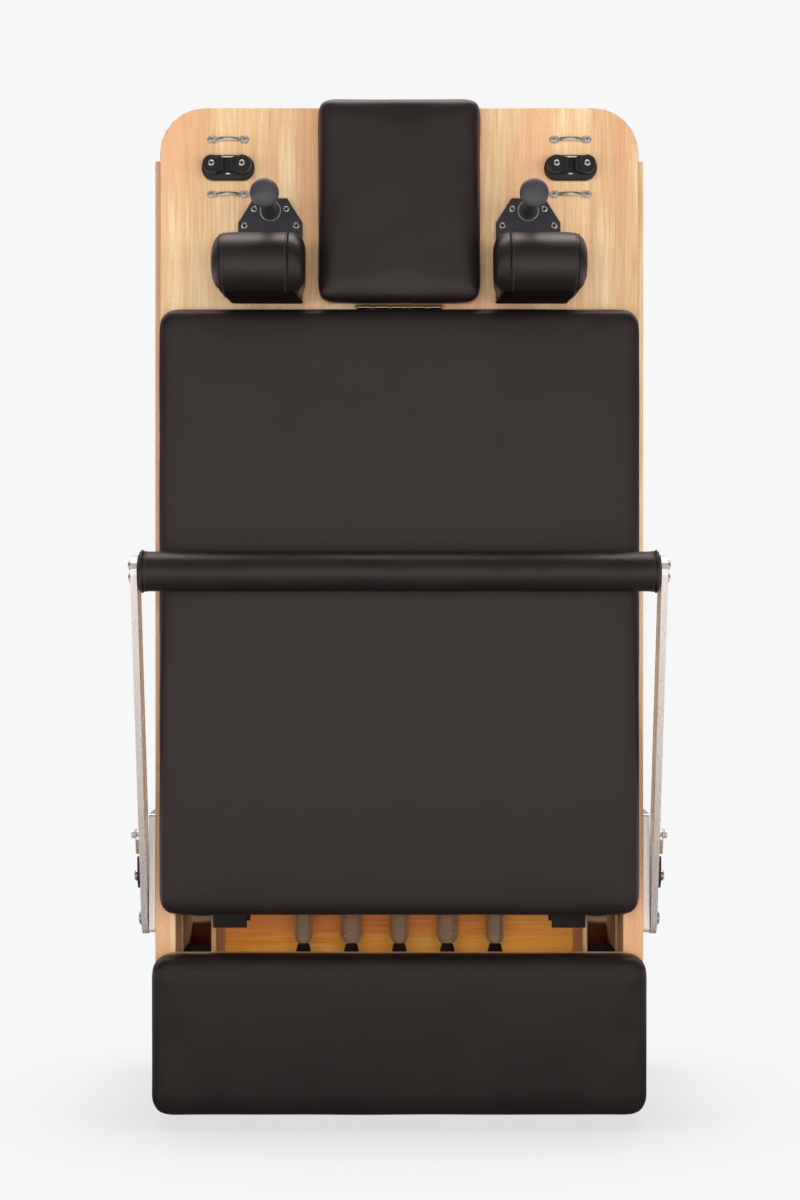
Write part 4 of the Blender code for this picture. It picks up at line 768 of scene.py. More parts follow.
def subdivide(piece, rounds=3):
    """Evens out a filled cover and doubles its cells."""
    even_out(piece, rounds)
    finer = piece.modifiers.new("Finer", "SUBSURF")
    finer.levels = finer.render_levels = 1
    apply_modifiers(piece)
    piece.data.shade_smooth()


def finish_cover(piece, corners, corner, back_y, wander):
    """Adds the foam's slight unevenness and the gathers where the cover turns a corner."""
    choices = settings("reformer_cushions")
    points = vertex_array(piece.data)
    normals = vertex_array(piece.data, "normal")
    shift = np.array([noise.noise(Vector(p) / wander) for p in points]) * choices.unevenness
    middle_x, middle_z = (sum(place[i] for place in corners) / len(corners) for i in range(2))
    # Gathers to a full turn, the angle over which they fade, how far up the side they reach, and
    # how far up it the cover is glued down
    gathers, fade, rise, glued = 28, 0.35, 0.024, 0.003
    for x, z in corners:
        across, up = points[:, 0] - x, points[:, 2] - z
        reach = np.hypot(across, up)
        facing = np.arctan2(up * np.sign(z - middle_z), across * np.sign(x - middle_x))
        on_arc = np.clip(np.minimum(facing, math.pi / 2 - facing) / fade, 0, 1)
        low_down = np.clip(1 - (back_y - points[:, 1]) / rise, 0, 1)
        rim = np.clip((reach - corner * 0.55) / (corner * 0.4), 0, 1)
        shift += choices.pleat * np.cos(facing * gathers) * on_arc * low_down * rim
    free = np.clip((back_y - points[:, 1]) / glued, 0, 1)
    points += normals * (shift * free)[:, None]
    move_points(piece, points)


def fit_between(piece, low, high):
    """Brings a filled cushion to its CAD node's size, so that it meets its board's edges."""
    points = vertex_array(piece.data)
    near, far = points.min(axis=0), points.max(axis=0)
    points = np.array(low) + (points - near) * (np.array(high) - np.array(low)) / (far - near)
    move_points(piece, points)


def flat_cushion(node, name, corner, body, fill, lower=0.0, upper=0.0, beside=0.0):
    """A foam pad, its cover drawn round it to the back. Its edges may pass the CAD solid's."""
    choices = settings("reformer_cushions")
    low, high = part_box(node)
    middle = (low + high) / 2
    half_width = (high.x - low.x) / 2 - choices.start_in
    half_height = (high.z - low.z) / 2 - choices.start_in
    depth = high.y - low.y - choices.start_in
    edge = choices.edge
    # How far in from the outline, and how far out from the back, from the back to the front
    levels = in_mm([(4.5, 0), (2.4, 1.5), (1.0, 4.5), (0.2, 9), (0, 14)])
    steps = 6
    for i in range(steps + 1):
        turn = math.pi / 2 * i / steps
        levels.append((edge * (1 - math.cos(turn)), depth - edge + edge * math.sin(turn)))
    form = Form()
    rings = []
    for inset, out in levels:
        radius = max(corner - inset, 4 * MM)
        outline = rounded_outline(half_width - inset, half_height - inset, radius)
        rings.append([(middle.x + x, high.y - out, middle.z + z) for x, z in outline])
    form.join_rings(rings)
    piece = make_piece(name, form, coated_leatherette)
    even_cover(piece, choices.mesh_step)
    fill_cover(piece, high.y, choices.swell)
    subdivide(piece)
    places = [
        (middle.x + sx * (half_width - corner), middle.z + sz * (half_height - corner))
        for sx in (-1, 1)
        for sz in (-1, 1)
    ]
    finish_cover(piece, places, corner, high.y, wander=0.09)
    fit_between(piece, low + Vector((-beside, 0, lower)), high + Vector((beside, 0, upper)))
    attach(piece, body)
    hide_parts(node)


def surface_ring(piece, plane_x, centre, steps):
    """Points and normals where a cushion's skin crosses a plane of constant X."""
    tree = BVHTree.FromObject(piece, bpy.context.evaluated_depsgraph_get())
    well_outside = 0.2
    ring = []
    for i in range(steps):
        turn = 2 * math.pi * i / steps
        outward = Vector((0, math.cos(turn), math.sin(turn)))
        origin = Vector((plane_x, centre[0], centre[1]))
        hit, normal, _, _ = tree.ray_cast(origin + outward * well_outside, -outward)
        if hit is None:
            raise RuntimeError(f"{piece.name} has no skin at X {plane_x:.3f}")
        ring.append((hit, normal))
    return ring


def stitch_row(form, places, normals):
    """Short stitches laid end to end along a line on a skin."""
    leather = settings("reformer_leather")
    pitch, width = leather.stitch, leather.thread_width
    line = np.array(places, float)
    run = np.concatenate([[0], np.cumsum(np.linalg.norm(np.diff(line, axis=0), axis=1))])
    count = int(run[-1] / pitch)
    # Where a stitch's points lie along it, how far they stand up, and how thick it is there
    shares = (0.14, 0.24, 0.5, 0.76, 0.86)
    lifts = (-0.25, 0.25, 0.42, 0.25, -0.25)
    sizes = [(0.5, 0.5), (1, 1), (1, 1), (1, 1), (0.5, 0.5)]
    section = round_section(width / 2)
    lie = np.array(normals, float)
    for number in range(count):
        at = [(number + share) * pitch for share in shares]
        path = np.array([[np.interp(a, run, line[:, k]) for k in range(3)] for a in at])
        lean = np.array([np.interp(at[2], run, lie[:, k]) for k in range(3)])
        lean /= np.linalg.norm(lean)
        path += np.outer(np.array(lifts) * width, lean)
        form.sweep(path, section, lean, sizes)


# Operators


class REFORMER_OT_wood(bpy.types.Operator):
    """Lacquers the wooden nodes, each with its grain along its own length."""

    bl_idname = "reformer.wood"
    bl_label = "Wooden frame"

    def execute(self, context):
        across = ("foot_end_board", "head_end_board", "platform_board")
        upright = [n for n in nodes_of_slot("wood") if n not in across]
        dress(upright, lacquered_rubberwood, "Z")
        dress(across, lacquered_rubberwood, "X")
        dress(nodes_of_slot("panel_wood"), carbonised_plywood, "X")
        return {"FINISHED"}


class REFORMER_OT_hardware(bpy.types.Operator):
    """Finishes the metal, plastic and rubber nodes."""

    bl_idname = "reformer.hardware"
    bl_label = "Metal and plastic nodes"

    def execute(self, context):
        for slot, make in (
            ("steel", brushed_steel),
            ("chrome", bright_chrome),
            ("bronze", bronzed_steel),
            ("black_metal", painted_steel),
            ("black_plastic", moulded_nylon),
            ("wheel", cast_polyurethane),
            ("rubber", moulded_rubber),
        ):
            dress(nodes_of_slot(slot), make)
        dress(("left_wheel_beam", "right_wheel_beam", "spring_bar"), blackened_steel)
        return {"FINISHED"}


class REFORMER_OT_cushions(bpy.types.Operator):
    """Pads the carriage, the headrest and the foot platform."""

    bl_idname = "reformer.cushions"
    bl_label = "Flat cushions"

    def execute(self, context):
        for what, corner, body, fill, edges in (
            ("carriage", 23 * MM, "carriage", 0.85, {"lower": -1.7 * MM}),
            ("headrest", 15 * MM, "headrest", 0.8, {"lower": -2.6 * MM, "beside": 1.8 * MM}),
            ("platform", 24 * MM, "foot_half", 0.85, {"lower": 2.5 * MM, "upper": 5 * MM}),
        ):
            flat_cushion(f"{what}_pad", f"{what}_cushion", corner, body, fill, **edges)
        return {"FINISHED"}


class REFORMER_OT_bolsters(bpy.types.Operator):
    """Pads and sews the two shoulder cushions."""

    bl_idname = "reformer.bolsters"
    bl_label = "Shoulder cushions"

    def execute(self, context):
        for side, outward in SIDES:
            self.make_bolster(side, outward)
        return {"FINISHED"}

    def make_bolster(self, side, outward):
        """One cushion: a middle band sewn to two end caps, each with its ridge and stitches."""
        choices = settings("reformer_cushions")
        node = f"{side}_shoulder_bolster"
        low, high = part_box(node)
        # The filled cover sags below its foam and wraps the leg's tip above it
        low += Vector((outward * 1.5 * MM, 0, -5 * MM))
        high += Vector((outward * 1.5 * MM, 0, 4 * MM))
        middle = (low + high) / 2
        form = Form()
        form.join_rings(self.sections(low, high, choices.start_in * 0.6, outward))
        piece = make_piece(f"{side}_shoulder_cushion", form, coated_leatherette)
        even_cover(piece, choices.fine_step, rounds=1)
        fill_cover(piece, high.y, choices.bolster_swell)
        subdivide(piece, rounds=1)
        fit_between(piece, low, high)
        seam_half, stitch_gap, hidden = 41.2 * MM, 3.2 * MM, 4 * MM
        ridge = [(-1.7, -0.7), (-1.0, 0.55), (-0.45, 0.95), (0.0, 0.25)]
        ridge = in_mm(ridge + [(-across, up) for across, up in reversed(ridge[:3])])
        centre = (middle.y, middle.z)
        seams, threads = Form(), Form()
        for along in (-1, 1):
            seam_x = middle.x + outward * 4.5 * MM + along * seam_half
            ring = surface_ring(piece, seam_x, centre, 72)
            path = [hit + normal * 0.1 * MM for hit, normal in ring]
            self.lay_seam(seams, path, [normal for _, normal in ring], ridge)
            row = surface_ring(piece, seam_x - along * stitch_gap, centre, 72)
            row = [(hit, normal) for hit, normal in row if hit.y < high.y - hidden]
            row.sort(key=lambda pair: math.atan2(pair[0].z - middle.z, -(pair[0].y - middle.y)))
            path = [hit + normal * 0.05 * MM for hit, normal in row]
            stitch_row(threads, path, [normal for _, normal in row])
        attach(piece, "carriage")
        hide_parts(node)
        make_piece(f"{side}_shoulder_seams", seams, coated_leatherette, "carriage")
        make_piece(f"{side}_shoulder_stitches", threads, sewing_thread, "carriage")
        # The black sheet of painted shade is narrower at the front, and lies further in at the back
        cloth = Form()
        deep, taper = 43.5 * MM, 0.08
        outline = []
        for x, y in rounded_outline(45 * MM, deep, 6 * MM):
            behind = (y + deep) / (2 * deep)
            x = x * (1 - taper + taper * behind) - outward * 6.5 * MM * behind
            outline.append((middle.x + x, high.y - deep - 0.5 * MM + y))
        cloth.slab(outline, "Z", low.z - 0.9 * MM, low.z + 1.5 * MM)
        make_piece(f"{side}_shoulder_dust_cloth", cloth, dust_cloth, "carriage")

    def sections(self, low, high, inward, outward):
        """Sections from end to end: a round front, flat behind it, drawn in most at the outside."""
        dome, leg, taper = 16.5 * MM, 4 * MM, 0.08
        middle = (low + high) / 2
        half = (high.x - low.x) / 2 - inward
        full = (high.z - low.z) / 2 - inward
        rings = []
        for share in np.linspace(-1, 1, 41):
            past = max(0.0, abs(share) * half - (half - dome)) / dome
            draw = 20 * MM if share * outward > 0 else 14 * MM
            inset = draw * (1 - math.sqrt(max(0.0, 1 - past**2)))
            radius = full - inset
            axis_y = low.y + inward + full
            section = arc((axis_y, middle.z), radius, 90, 270, 20)
            back = high.y - 0.6 * inset
            # The upright leg lies in a step in the top, behind the round front
            section += [(back, middle.z - radius), (back, middle.z + radius - leg)]
            section.append((axis_y + 17.5 * MM, middle.z + radius - leg))
            ring = []
            for y, z in section:
                behind = min(max((y - axis_y) / (high.y - axis_y), 0.0), 1.0)
                ring.append((middle.x + share * half * (1 - taper * behind), y, z))
            rings.append(ring)
        return rings

    def lay_seam(self, form, path, normals, ridge):
        """A closed ridge round a cushion, its section standing up along the skin's normal."""
        across = Vector((1, 0, 0))
        rings = []
        for place, normal in zip(path, normals):
            rings.append([place + across * a + normal * b for a, b in ridge])
        rings.append(rings[0])
        form.join_rings(rings, closed_ends=False)


class REFORMER_OT_shoulder_plates(bpy.types.Operator):
    """Makes the painted plates, their upright legs, screws and strap pegs."""

    bl_idname = "reformer.shoulder_plates"
    bl_label = "Shoulder plates and pegs"

    def execute(self, context):
        for name, side in SIDES:
            self.make_plate(name)
            self.make_peg(name, side)
        return {"FINISHED"}

    def make_plate(self, name):
        """A plate with its two upper corners cut off, and the leg welded and screwed to it."""
        low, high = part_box(f"{name}_shoulder_bracket")
        middle = (low.x + high.x) / 2
        half, half_top, chamfer = (high.x - low.x) / 2, 21 * MM, 31 * MM
        top = high.z - 3.3 * MM
        thickness = 4 * MM
        face = high.y - thickness
        outline = [
            (middle - half, low.z),
            (middle + half, low.z),
            (middle + half, top - chamfer),
            (middle + half_top, top),
            (middle - half_top, top),
            (middle - half, top - chamfer),
        ]
        plate = Form()
        plate.slab(outline, "Y", face, high.y)
        shaped = make_piece(f"{name}_shoulder_plate", plate, painted_steel, "carriage")
        soften_edges(shaped, 0.7 * MM)
        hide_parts(f"{name}_shoulder_bracket")
        bolster_low, bolster_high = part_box(f"{name}_shoulder_bolster")
        tip = bolster_low.y + 55 * MM
        leg_half, leg_corner = 35 * MM, 14 * MM
        leg = [(middle - leg_half, face + 0.5 * MM), (middle - leg_half, tip + leg_corner)]
        leg += arc((middle - leg_half + leg_corner, tip + leg_corner), leg_corner, 180, 270, 8)
        leg += arc((middle + leg_half - leg_corner, tip + leg_corner), leg_corner, 270, 360, 8)
        leg.append((middle + leg_half, face + 0.5 * MM))
        upright = Form()
        foot = bolster_high.z + 0.3 * MM
        upright.slab(leg, "Z", foot, foot + thickness)
        shaped = make_piece(f"{name}_upright_leg", upright, painted_steel, "carriage")
        soften_edges(shaped, 0.7 * MM)
        screws = Form()
        # Four screws through the plate, at heights above the floor, and four through the leg
        for across, height in ((20 * MM, 1.1527), (32.5 * MM, 1.1318)):
            for way in (1, -1):
                place = (middle + way * across, face, height)
                socket_screw(screws, place, FRONT, 4.6 * MM, 2.6 * MM, 30)
        for across in (-18 * MM, 18 * MM):
            for out in (0.020, 0.044):
                place = (middle + across, face - out, foot + thickness)
                socket_screw(screws, place, (0, 0, 1), 4.6 * MM, 2.4 * MM)
        make_piece(f"{name}_plate_screws", screws, bright_chrome, "carriage")
        weld = Form()
        run = np.linspace(middle - leg_half + 2 * MM, middle + leg_half - 2 * MM, 60)
        beads = [1 + 0.22 * math.sin(i * 2.1) for i in range(len(run))]
        bead_path = [(x, face - 0.6 * MM, foot + thickness + 0.6 * MM) for x in run]
        weld.sweep(bead_path, round_section(1.5 * MM, 8), (0, 0, 1), scales=[(b, b) for b in beads])
        make_piece(f"{name}_leg_weld", weld, painted_steel, "carriage")

    def make_peg(self, name, side):
        """A mushroom-headed peg on a thin ring, with the line that its mould left."""
        low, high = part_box(f"{name}_shoulder_bracket")
        middle = (low.x + high.x) / 2
        place = (middle, high.y - 4 * MM, 1.151)
        top = place[1] - low.y
        rim, neck, foot = 17.6 * MM, 7 * MM, 12 * MM
        crown = 8 * MM
        peg = Form()
        # From the board out: the foot, the stem that narrows, the head's underside and its crown
        profile = [(foot, 0), (foot, 2.2 * MM), (11.6 * MM, 5 * MM)]
        for i in range(9):
            share = i / 8
            radius = neck + (11.2 * MM - neck) * (1 - share) ** 2
            profile.append((radius, 8 * MM + (top - 42 * MM) * share))
        profile += [
            (neck * 1.04, top - 24 * MM),
            (neck * 1.3, top - 19.5 * MM),
            (rim * 0.70, top - 15.5 * MM),
            (rim * 0.93, top - 12.2 * MM),
            (rim * 0.995, top - 9.8 * MM),
            (rim, top - crown),
        ]
        for i in range(1, 10):
            turn = math.pi / 2 * i / 9
            radius = max(rim * math.cos(turn), 1.2 * MM)
            profile.append((radius, top - crown + crown * math.sin(turn)))
        peg.turn(profile, place, FRONT, 48)
        make_piece(f"{name}_strap_peg", peg, moulded_peg, "carriage", crease=50)
        ring = Form()
        profile = in_mm([(13.5, 0), (13.5, 1.4), (13.1, 1.9), (12.3, 1.9), (12.05, 1.2)])
        ring.turn(profile, place, FRONT, 48)
        make_piece(f"{name}_peg_ring", ring, bright_chrome, "carriage")
        # The line lies level on the left peg and upright on the right one
        line = Form()
        path = []
        for i in range(25):
            turn = math.radians(20 + 140 * i / 24)
            across = rim * math.cos(turn)
            out = top - crown + crown * math.sin(turn)
            offset = (across, 0) if side < 0 else (0, across)
            path.append((middle + offset[0], place[1] - out, place[2] + offset[1]))
        reference = (0, 0, 1) if side < 0 else (1, 0, 0)
        line.sweep(path, round_section(0.3 * MM), reference)
        make_piece(f"{name}_peg_mould_line", line, moulded_peg, "carriage")


class REFORMER_OT_cleats(bpy.types.Operator):
    """Adds the cleats' caps, screws and fairlead strips."""

    bl_idname = "reformer.cleats"
    bl_label = "Rope cleats"

    def execute(self, context):
        for name, side in SIDES:
            self.make_cleat(name, side)
        return {"FINISHED"}

    def make_cleat(self, name, side):
        """A base with a cap over each cam and two fairleads."""
        low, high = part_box(f"{name}_cleat_base")
        centre_x, centre_z = (low.x + high.x) / 2, (low.z + high.z) / 2
        base = Form()
        place = (centre_x, high.y, centre_z - 1.4 * MM)
        levels = in_mm([(0.4, 0), (0, 0.6), (0, 7.6), (0.5, 8.5), (1.6, 9.0)])
        base.plate(place, 33 * MM, 15.8 * MM, 15.0 * MM, levels, 14)
        # The block between the two cams
        base.box(
            (centre_x - 4.2 * MM, low.y + 15 * MM, centre_z - 7.5 * MM),
            (centre_x + 4.2 * MM, high.y - 1 * MM, centre_z + 7.5 * MM),
        )
        piece = make_piece(f"{name}_cleat_body", base, moulded_nylon, "carriage")
        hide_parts(f"{name}_cleat_base")
        screws = Form()
        for which, outward in (("inner", -side), ("outer", side)):
            cam = f"{name}_cleat_{which}_cam"
            cam_low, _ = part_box(cam)
            place = (centre_x + outward * 19 * MM, cam_low.y - 0.05 * MM, centre_z)
            cap = Form()
            profile = [(11.0, -14.5), (11.2, -13.0), (11.2, 1.2), (10.7, 2.3), (9.6, 2.8)]
            profile += [(8.2, 2.3), (6.2, 2.8), (5.9, 2.3), (5.9, 3.5), (5.4, 3.6)]
            cap.turn(in_mm(profile), place, FRONT, 36)
            outline = arc((19 * MM, 0), 10.6 * MM, -70, 70, 18)
            outline += arc((6.4 * MM, 6.2 * MM), 2 * MM, 90, 180, 4)
            outline += arc((6.4 * MM, -6.2 * MM), 2 * MM, 180, 270, 4)
            outline = [(centre_x + outward * x, centre_z + z) for x, z in outline]
            cap.slab(outline, "Y", cam_low.y - 0.9 * MM, cam_low.y + 5 * MM)
            make_piece(f"{name}_{which}_cam_cap", cap, moulded_nylon, cam)
            place = (place[0], place[1] - 3.6 * MM, place[2])
            socket_screw(screws, place, FRONT, 4.1 * MM, 2.0 * MM, 30)
        make_piece(f"{name}_cleat_screws", screws, bright_chrome, "carriage")
        strips = Form()
        base_face, half_thick = high.y - 9 * MM, 0.85 * MM
        for height, half in ((11.8 * MM, 8.0 * MM), (-9.4 * MM, 2.6 * MM)):
            # Let in nearly flush, so that the cams pass over them
            strips.box(
                (centre_x - half, base_face - 0.3 * MM, centre_z + height - half_thick),
                (centre_x + half, base_face + 1 * MM, centre_z + height + half_thick),
            )
        make_piece(f"{name}_cleat_fairleads", strips, brushed_steel, "carriage")


class REFORMER_OT_eye_straps(bpy.types.Operator):
    """Makes the four bent eye straps with their screws."""

    bl_idname = "reformer.eye_straps"
    bl_label = "Eye straps"

    def execute(self, context):
        for name, _ in SIDES:
            for level in ("upper", "lower"):
                self.make_strap(f"{name}_{level}_eye_strap")
        return {"FINISHED"}

    def make_strap(self, node):
        """Two round feet with a screw in each, and a bar bent up between them."""
        low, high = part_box(node)
        middle, height, board = (low.x + high.x) / 2, (low.z + high.z) / 2, high.y
        strap = Form()
        levels = in_mm([(0.2, 0), (0, 0.4), (0, 1.2), (0.5, 1.7)])
        for side in (-1, 1):
            foot = (middle + side * 20 * MM, board, height)
            strap.plate(foot, 6.5 * MM, 4.8 * MM, 4.7 * MM, levels, 7)
        steps = 28
        path, scales = [], []
        half_arch = 14.6 * MM
        rise = high.y - low.y - 2.2 * MM
        for i in range(steps + 1):
            share = i / steps
            across = -half_arch + 2 * half_arch * share
            lift = rise * math.sin(math.pi * share) ** 0.75
            path.append((middle + across, board - 1.0 * MM - lift, height))
            narrow = 0.72 + 0.28 * abs(2 * share - 1) ** 3
            scales.append((1.0, narrow))
        # The bar is flat with rounded edges
        section = []
        for i in range(12):
            turn = 2 * math.pi * i / 12
            parts = (math.cos(turn), math.sin(turn))
            out, up = (math.copysign(abs(part) ** 0.7, part) for part in parts)
            section.append((1.0 * MM * out, 2.9 * MM * up))
        strap.sweep(path, section, (0, 0, 1), scales)
        piece = make_piece(f"{node}_bent", strap, bright_chrome, "carriage", crease=45)
        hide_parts(node)
        screws = Form()
        for side in (-1, 1):
            place = (middle + side * 21 * MM, board - 1.6 * MM, height)
            cross_screw(screws, place, FRONT, 3.7 * MM, 1.9 * MM, 32)
        make_piece(f"{node}_screws", screws, bright_chrome, "carriage")


class REFORMER_OT_headrest_hinge(bpy.types.Operator):
    """Makes the butt hinge with its knuckles, leaf and pin ends."""

    bl_idname = "reformer.headrest_hinge"
    bl_label = "Headrest hinge"

    def execute(self, context):
        low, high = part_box("headrest_hinge")
        radius = 3.5 * MM
        axis_y, axis_z = low.y + radius, high.z - radius
        barrel_half = 52.5 * MM
        knuckle = 2 * barrel_half / 5
        barrel = Form()
        for number in range(5):
            start = -barrel_half + number * knuckle + 0.25 * MM
            width, rim = knuckle - 0.5 * MM, 0.35 * MM
            profile = [(radius * 0.9, 0), (radius, rim)]
            profile += [(radius, width - rim), (radius * 0.9, width)]
            barrel.turn(profile, (start, axis_y, axis_z), (1, 0, 0), 28)
        piece = make_piece("hinge_knuckles", barrel, bronzed_steel, "carriage")
        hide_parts("headrest_hinge")
        leaf = Form()
        half = (high.x - low.x) / 2
        outline = rounded_outline(half, 3.9 * MM, 3 * MM, 6)
        leaf.slab([(x, axis_z + z) for x, z in outline], "Y", high.y - 1.2 * MM, high.y)
        soften_edges(make_piece("hinge_leaf", leaf, yellow_brass, "carriage"), 0.35 * MM)
        pins = Form()
        profile = in_mm([(1.6, 0), (2.4, 0.2), (2.4, 1.2), (1.5, 2.0)])
        for side in (-1, 1):
            pins.turn(profile, (side * barrel_half, axis_y, axis_z), (side, 0, 0), 20)
        for share in (-0.62, -0.21, 0.21, 0.62):
            place = (share * half, axis_y - radius * 0.95, axis_z - radius * 0.3)
            cross_screw(pins, place, (0, -0.95, -0.3), 1.5 * MM, 0.5 * MM, 16)
        make_piece("hinge_pin_ends", pins, yellow_brass, "carriage")
        return {"FINISHED"}


class REFORMER_OT_footbar(bpy.types.Operator):
    """Covers the footbar with sewn padding."""

    bl_idname = "reformer.footbar"
    bl_label = "Footbar cover"

    def execute(self, context):
        low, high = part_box("footbar_tube")
        half = (high.x - low.x) / 2
        radius = 24.5 * MM
        axis_y, axis_z = (low.y + high.y) / 2, (low.z + high.z) / 2

        def around(x, reach, turn):
            return (x, axis_y + reach * math.sin(turn), axis_z + reach * math.cos(turn))

        # Inwards from the end: the sewn-in disc, the seam's ridge, then the plain tube
        end = [(5.0, 0.2), (12.0, 0.0), (17.0, 0.2), (21.2, 1.0), (24.4, 2.4)]
        end += [(26.0, 3.6), (26.4, 4.6), (26.0, 5.6), (25.1, 6.8), (24.7, 8.6)]
        profile = [(reach, half - inward) for reach, inward in in_mm(end)]
        plain = half - 14 * MM
        profile += [(radius, x) for x in np.linspace(plain, -plain, 120)]
        profile += [(reach, -x) for reach, x in reversed(profile[: len(end)])]
        form = Form()
        steps = 64
        seam_turn = math.pi * 0.6
        rings = []
        for reach, x in profile:
            ring = []
            for i in range(steps):
                turn = 2 * math.pi * i / steps
                here = Vector((x, math.sin(turn), math.cos(turn)))
                # The foam sags slightly along the tube, and the gathers fade 4 mm from a seam
                sag = noise.noise(Vector((x * 14, here.y * 0.7, here.z * 0.7))) * 0.35 * MM
                from_seam = abs(abs(x) - (half - 3.2 * MM)) / (4 * MM)
                tucks = 0.45 * MM * math.cos(turn * 26) * max(0, 1 - from_seam)
                grow = reach + (sag if reach >= radius * 0.99 else 0) + tucks
                # The cover's lengthwise seam lies at the back, in line with the arms
                groove = math.exp(-(((turn - seam_turn) / 0.05) ** 2)) * 0.7 * MM
                grow -= groove if abs(x) < half - 8 * MM else 0
                ring.append(around(x, grow, turn))
            rings.append(ring)
        form.join_rings(rings)
        piece = make_piece("footbar_cover", form, coated_leatherette, "footbar", crease=60)
        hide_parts("footbar_tube")
        threads = Form()
        turns = np.linspace(0, 2 * math.pi, 73)
        for side in (-1, 1):
            # The row on the tube looks straight out, and the row on the disc leans to the end
            for inward, reach, lean, out in (
                (9.4 * MM, radius + 0.2 * MM, 0.0, 1.0),
                (2.2 * MM, 23.9 * MM, 0.75, 0.65),
            ):
                x = side * (half - inward)
                ring = [around(x, reach, turn) for turn in turns]
                normals = [(side * lean, out * math.sin(t), out * math.cos(t)) for t in turns]
                stitch_row(threads, ring, normals)
        run = np.linspace(-(half - 16 * MM), half - 16 * MM, 80)
        for offset in (-0.09, 0.09):
            turn = seam_turn + offset
            row = [around(x, radius, turn) for x in run]
            stitch_row(threads, row, [(0, math.sin(turn), math.cos(turn))] * len(row))
        make_piece("footbar_stitches", threads, sewing_thread, "footbar")
        return {"FINISHED"}


class REFORMER_OT_footbar_fittings(bpy.types.Operator):
    """Adds the arms' chromed bolt heads and the small latch springs."""

    bl_idname = "reformer.footbar_fittings"
    bl_label = "Footbar fittings"

    def execute(self, context):
        swing = next(joint for joint in frame["joints"] if joint["name"] == "footbar_swing")
        pivot = Vector((0, *swing["pos_m"][1:]))
        low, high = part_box("footbar_tube")
        bar = Vector((0, (low.y + high.y) / 2, (low.z + high.z) / 2))
        reach = (bar - pivot).length
        along = (bar - pivot) / reach
        for name, side in SIDES:
            pawl_low, pawl_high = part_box(f"{name}_lock_pawl")
            pawl_inner = pawl_low.x if side > 0 else -pawl_high.x
            face = pawl_inner - 0.4 * MM
            # Body, radius, rise, how far outside the face each head sits, and where on the arm
            for kind, body, radius, rise, proud, runs in (
                ("bar", "footbar", 6.8 * MM, 4.9 * MM, 0, (reach - 7.5 * MM, reach + 7.5 * MM)),
                ("lever", "footbar", 7.1 * MM, 4.4 * MM, 5.3 * MM, (58 * MM,)),
                ("pivot", "foot_half", 9.3 * MM, 5.3 * MM, 0.4 * MM, (0,)),
            ):
                heads = Form()
                for run in runs:
                    place = pivot + along * run
                    place.x = side * (face + proud)
                    self.dome(heads, place, (side, 0, 0), radius, rise)
                ending = "bolts" if len(runs) > 1 else "bolt"
                make_piece(f"{name}_{kind}_{ending}", heads, bright_chrome, body)
            # The lock's small spring, wound along the arm between its lever and its stud
            spring = Form()
            path = []
            turns, wire = 10, 1.3 * MM
            start, end = 87 * MM, 106 * MM
            across = Vector((1, 0, 0))
            other = along.cross(across).normalized()
            for i in range(turns * 12 + 1):
                turn = 2 * math.pi * i / 12
                run = start + (end - start) * i / (turns * 12)
                centre = pivot + along * run + Vector((side * (face + 3.6 * MM), 0, 0))
                spoke = across * math.cos(turn) + other * math.sin(turn)
                path.append(centre + spoke * 2.9 * MM)
            spring.sweep(path, round_section(wire / 2), along)
            make_piece(f"{name}_latch_spring", spring, spring_steel, "footbar")
        return {"FINISHED"}

    def dome(self, form, place, direction, radius, rise):
        """A domed bolt head with a hexagon socket."""
        profile = [(radius, 0), (radius, rise * 0.22)]
        for i in range(1, 6):
            turn = math.pi / 2 * i / 6.5
            profile.append((radius * math.cos(turn), rise * (0.22 + 0.78 * math.sin(turn))))
        socket = radius * 0.33
        profile += [(socket, rise * 0.985, hexagon), (socket * 0.95, rise * 0.5, hexagon)]
        form.turn(profile, place, direction, 36)


class REFORMER_OT_springs(bpy.types.Operator):
    """Winds the five springs in full."""

    bl_idname = "reformer.springs"
    bl_label = "Springs"

    def execute(self, context):
        choices = settings("reformer_springs")
        for number in range(1, 6):
            node = f"spring_{number}"
            low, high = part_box(node)
            middle = (low + high) / 2
            radius = (high.x - low.x) / 2
            pitch = choices.coarse_pitch if number in (2, 4) else choices.fine_pitch
            wire = pitch * 0.86
            height = high.z - low.z - wire
            widest = radius - wire / 2
            total = int(height / pitch * choices.points)
            path = []
            for i in range(total + 1):
                up = height * i / total
                # A curl near an end is drawn in towards the neck along a quarter of a circle
                near_end = max(0.0, min(up, height - up)) / choices.taper
                curve = math.sqrt(1 - (1 - min(near_end, 1.0)) ** 2)
                here = choices.neck + (widest - choices.neck) * curve
                turn = 2 * math.pi * i / choices.points
                x, y = middle.x + here * math.cos(turn), middle.y + here * math.sin(turn)
                path.append((x, y, low.z + wire / 2 + up))
            form = Form()
            form.sweep(path, round_section(wire / 2), (0, 0, 1))
            piece = make_piece(f"{node}_wire", form, spring_steel)
            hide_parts(node)
            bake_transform(piece)
        return {"FINISHED"}


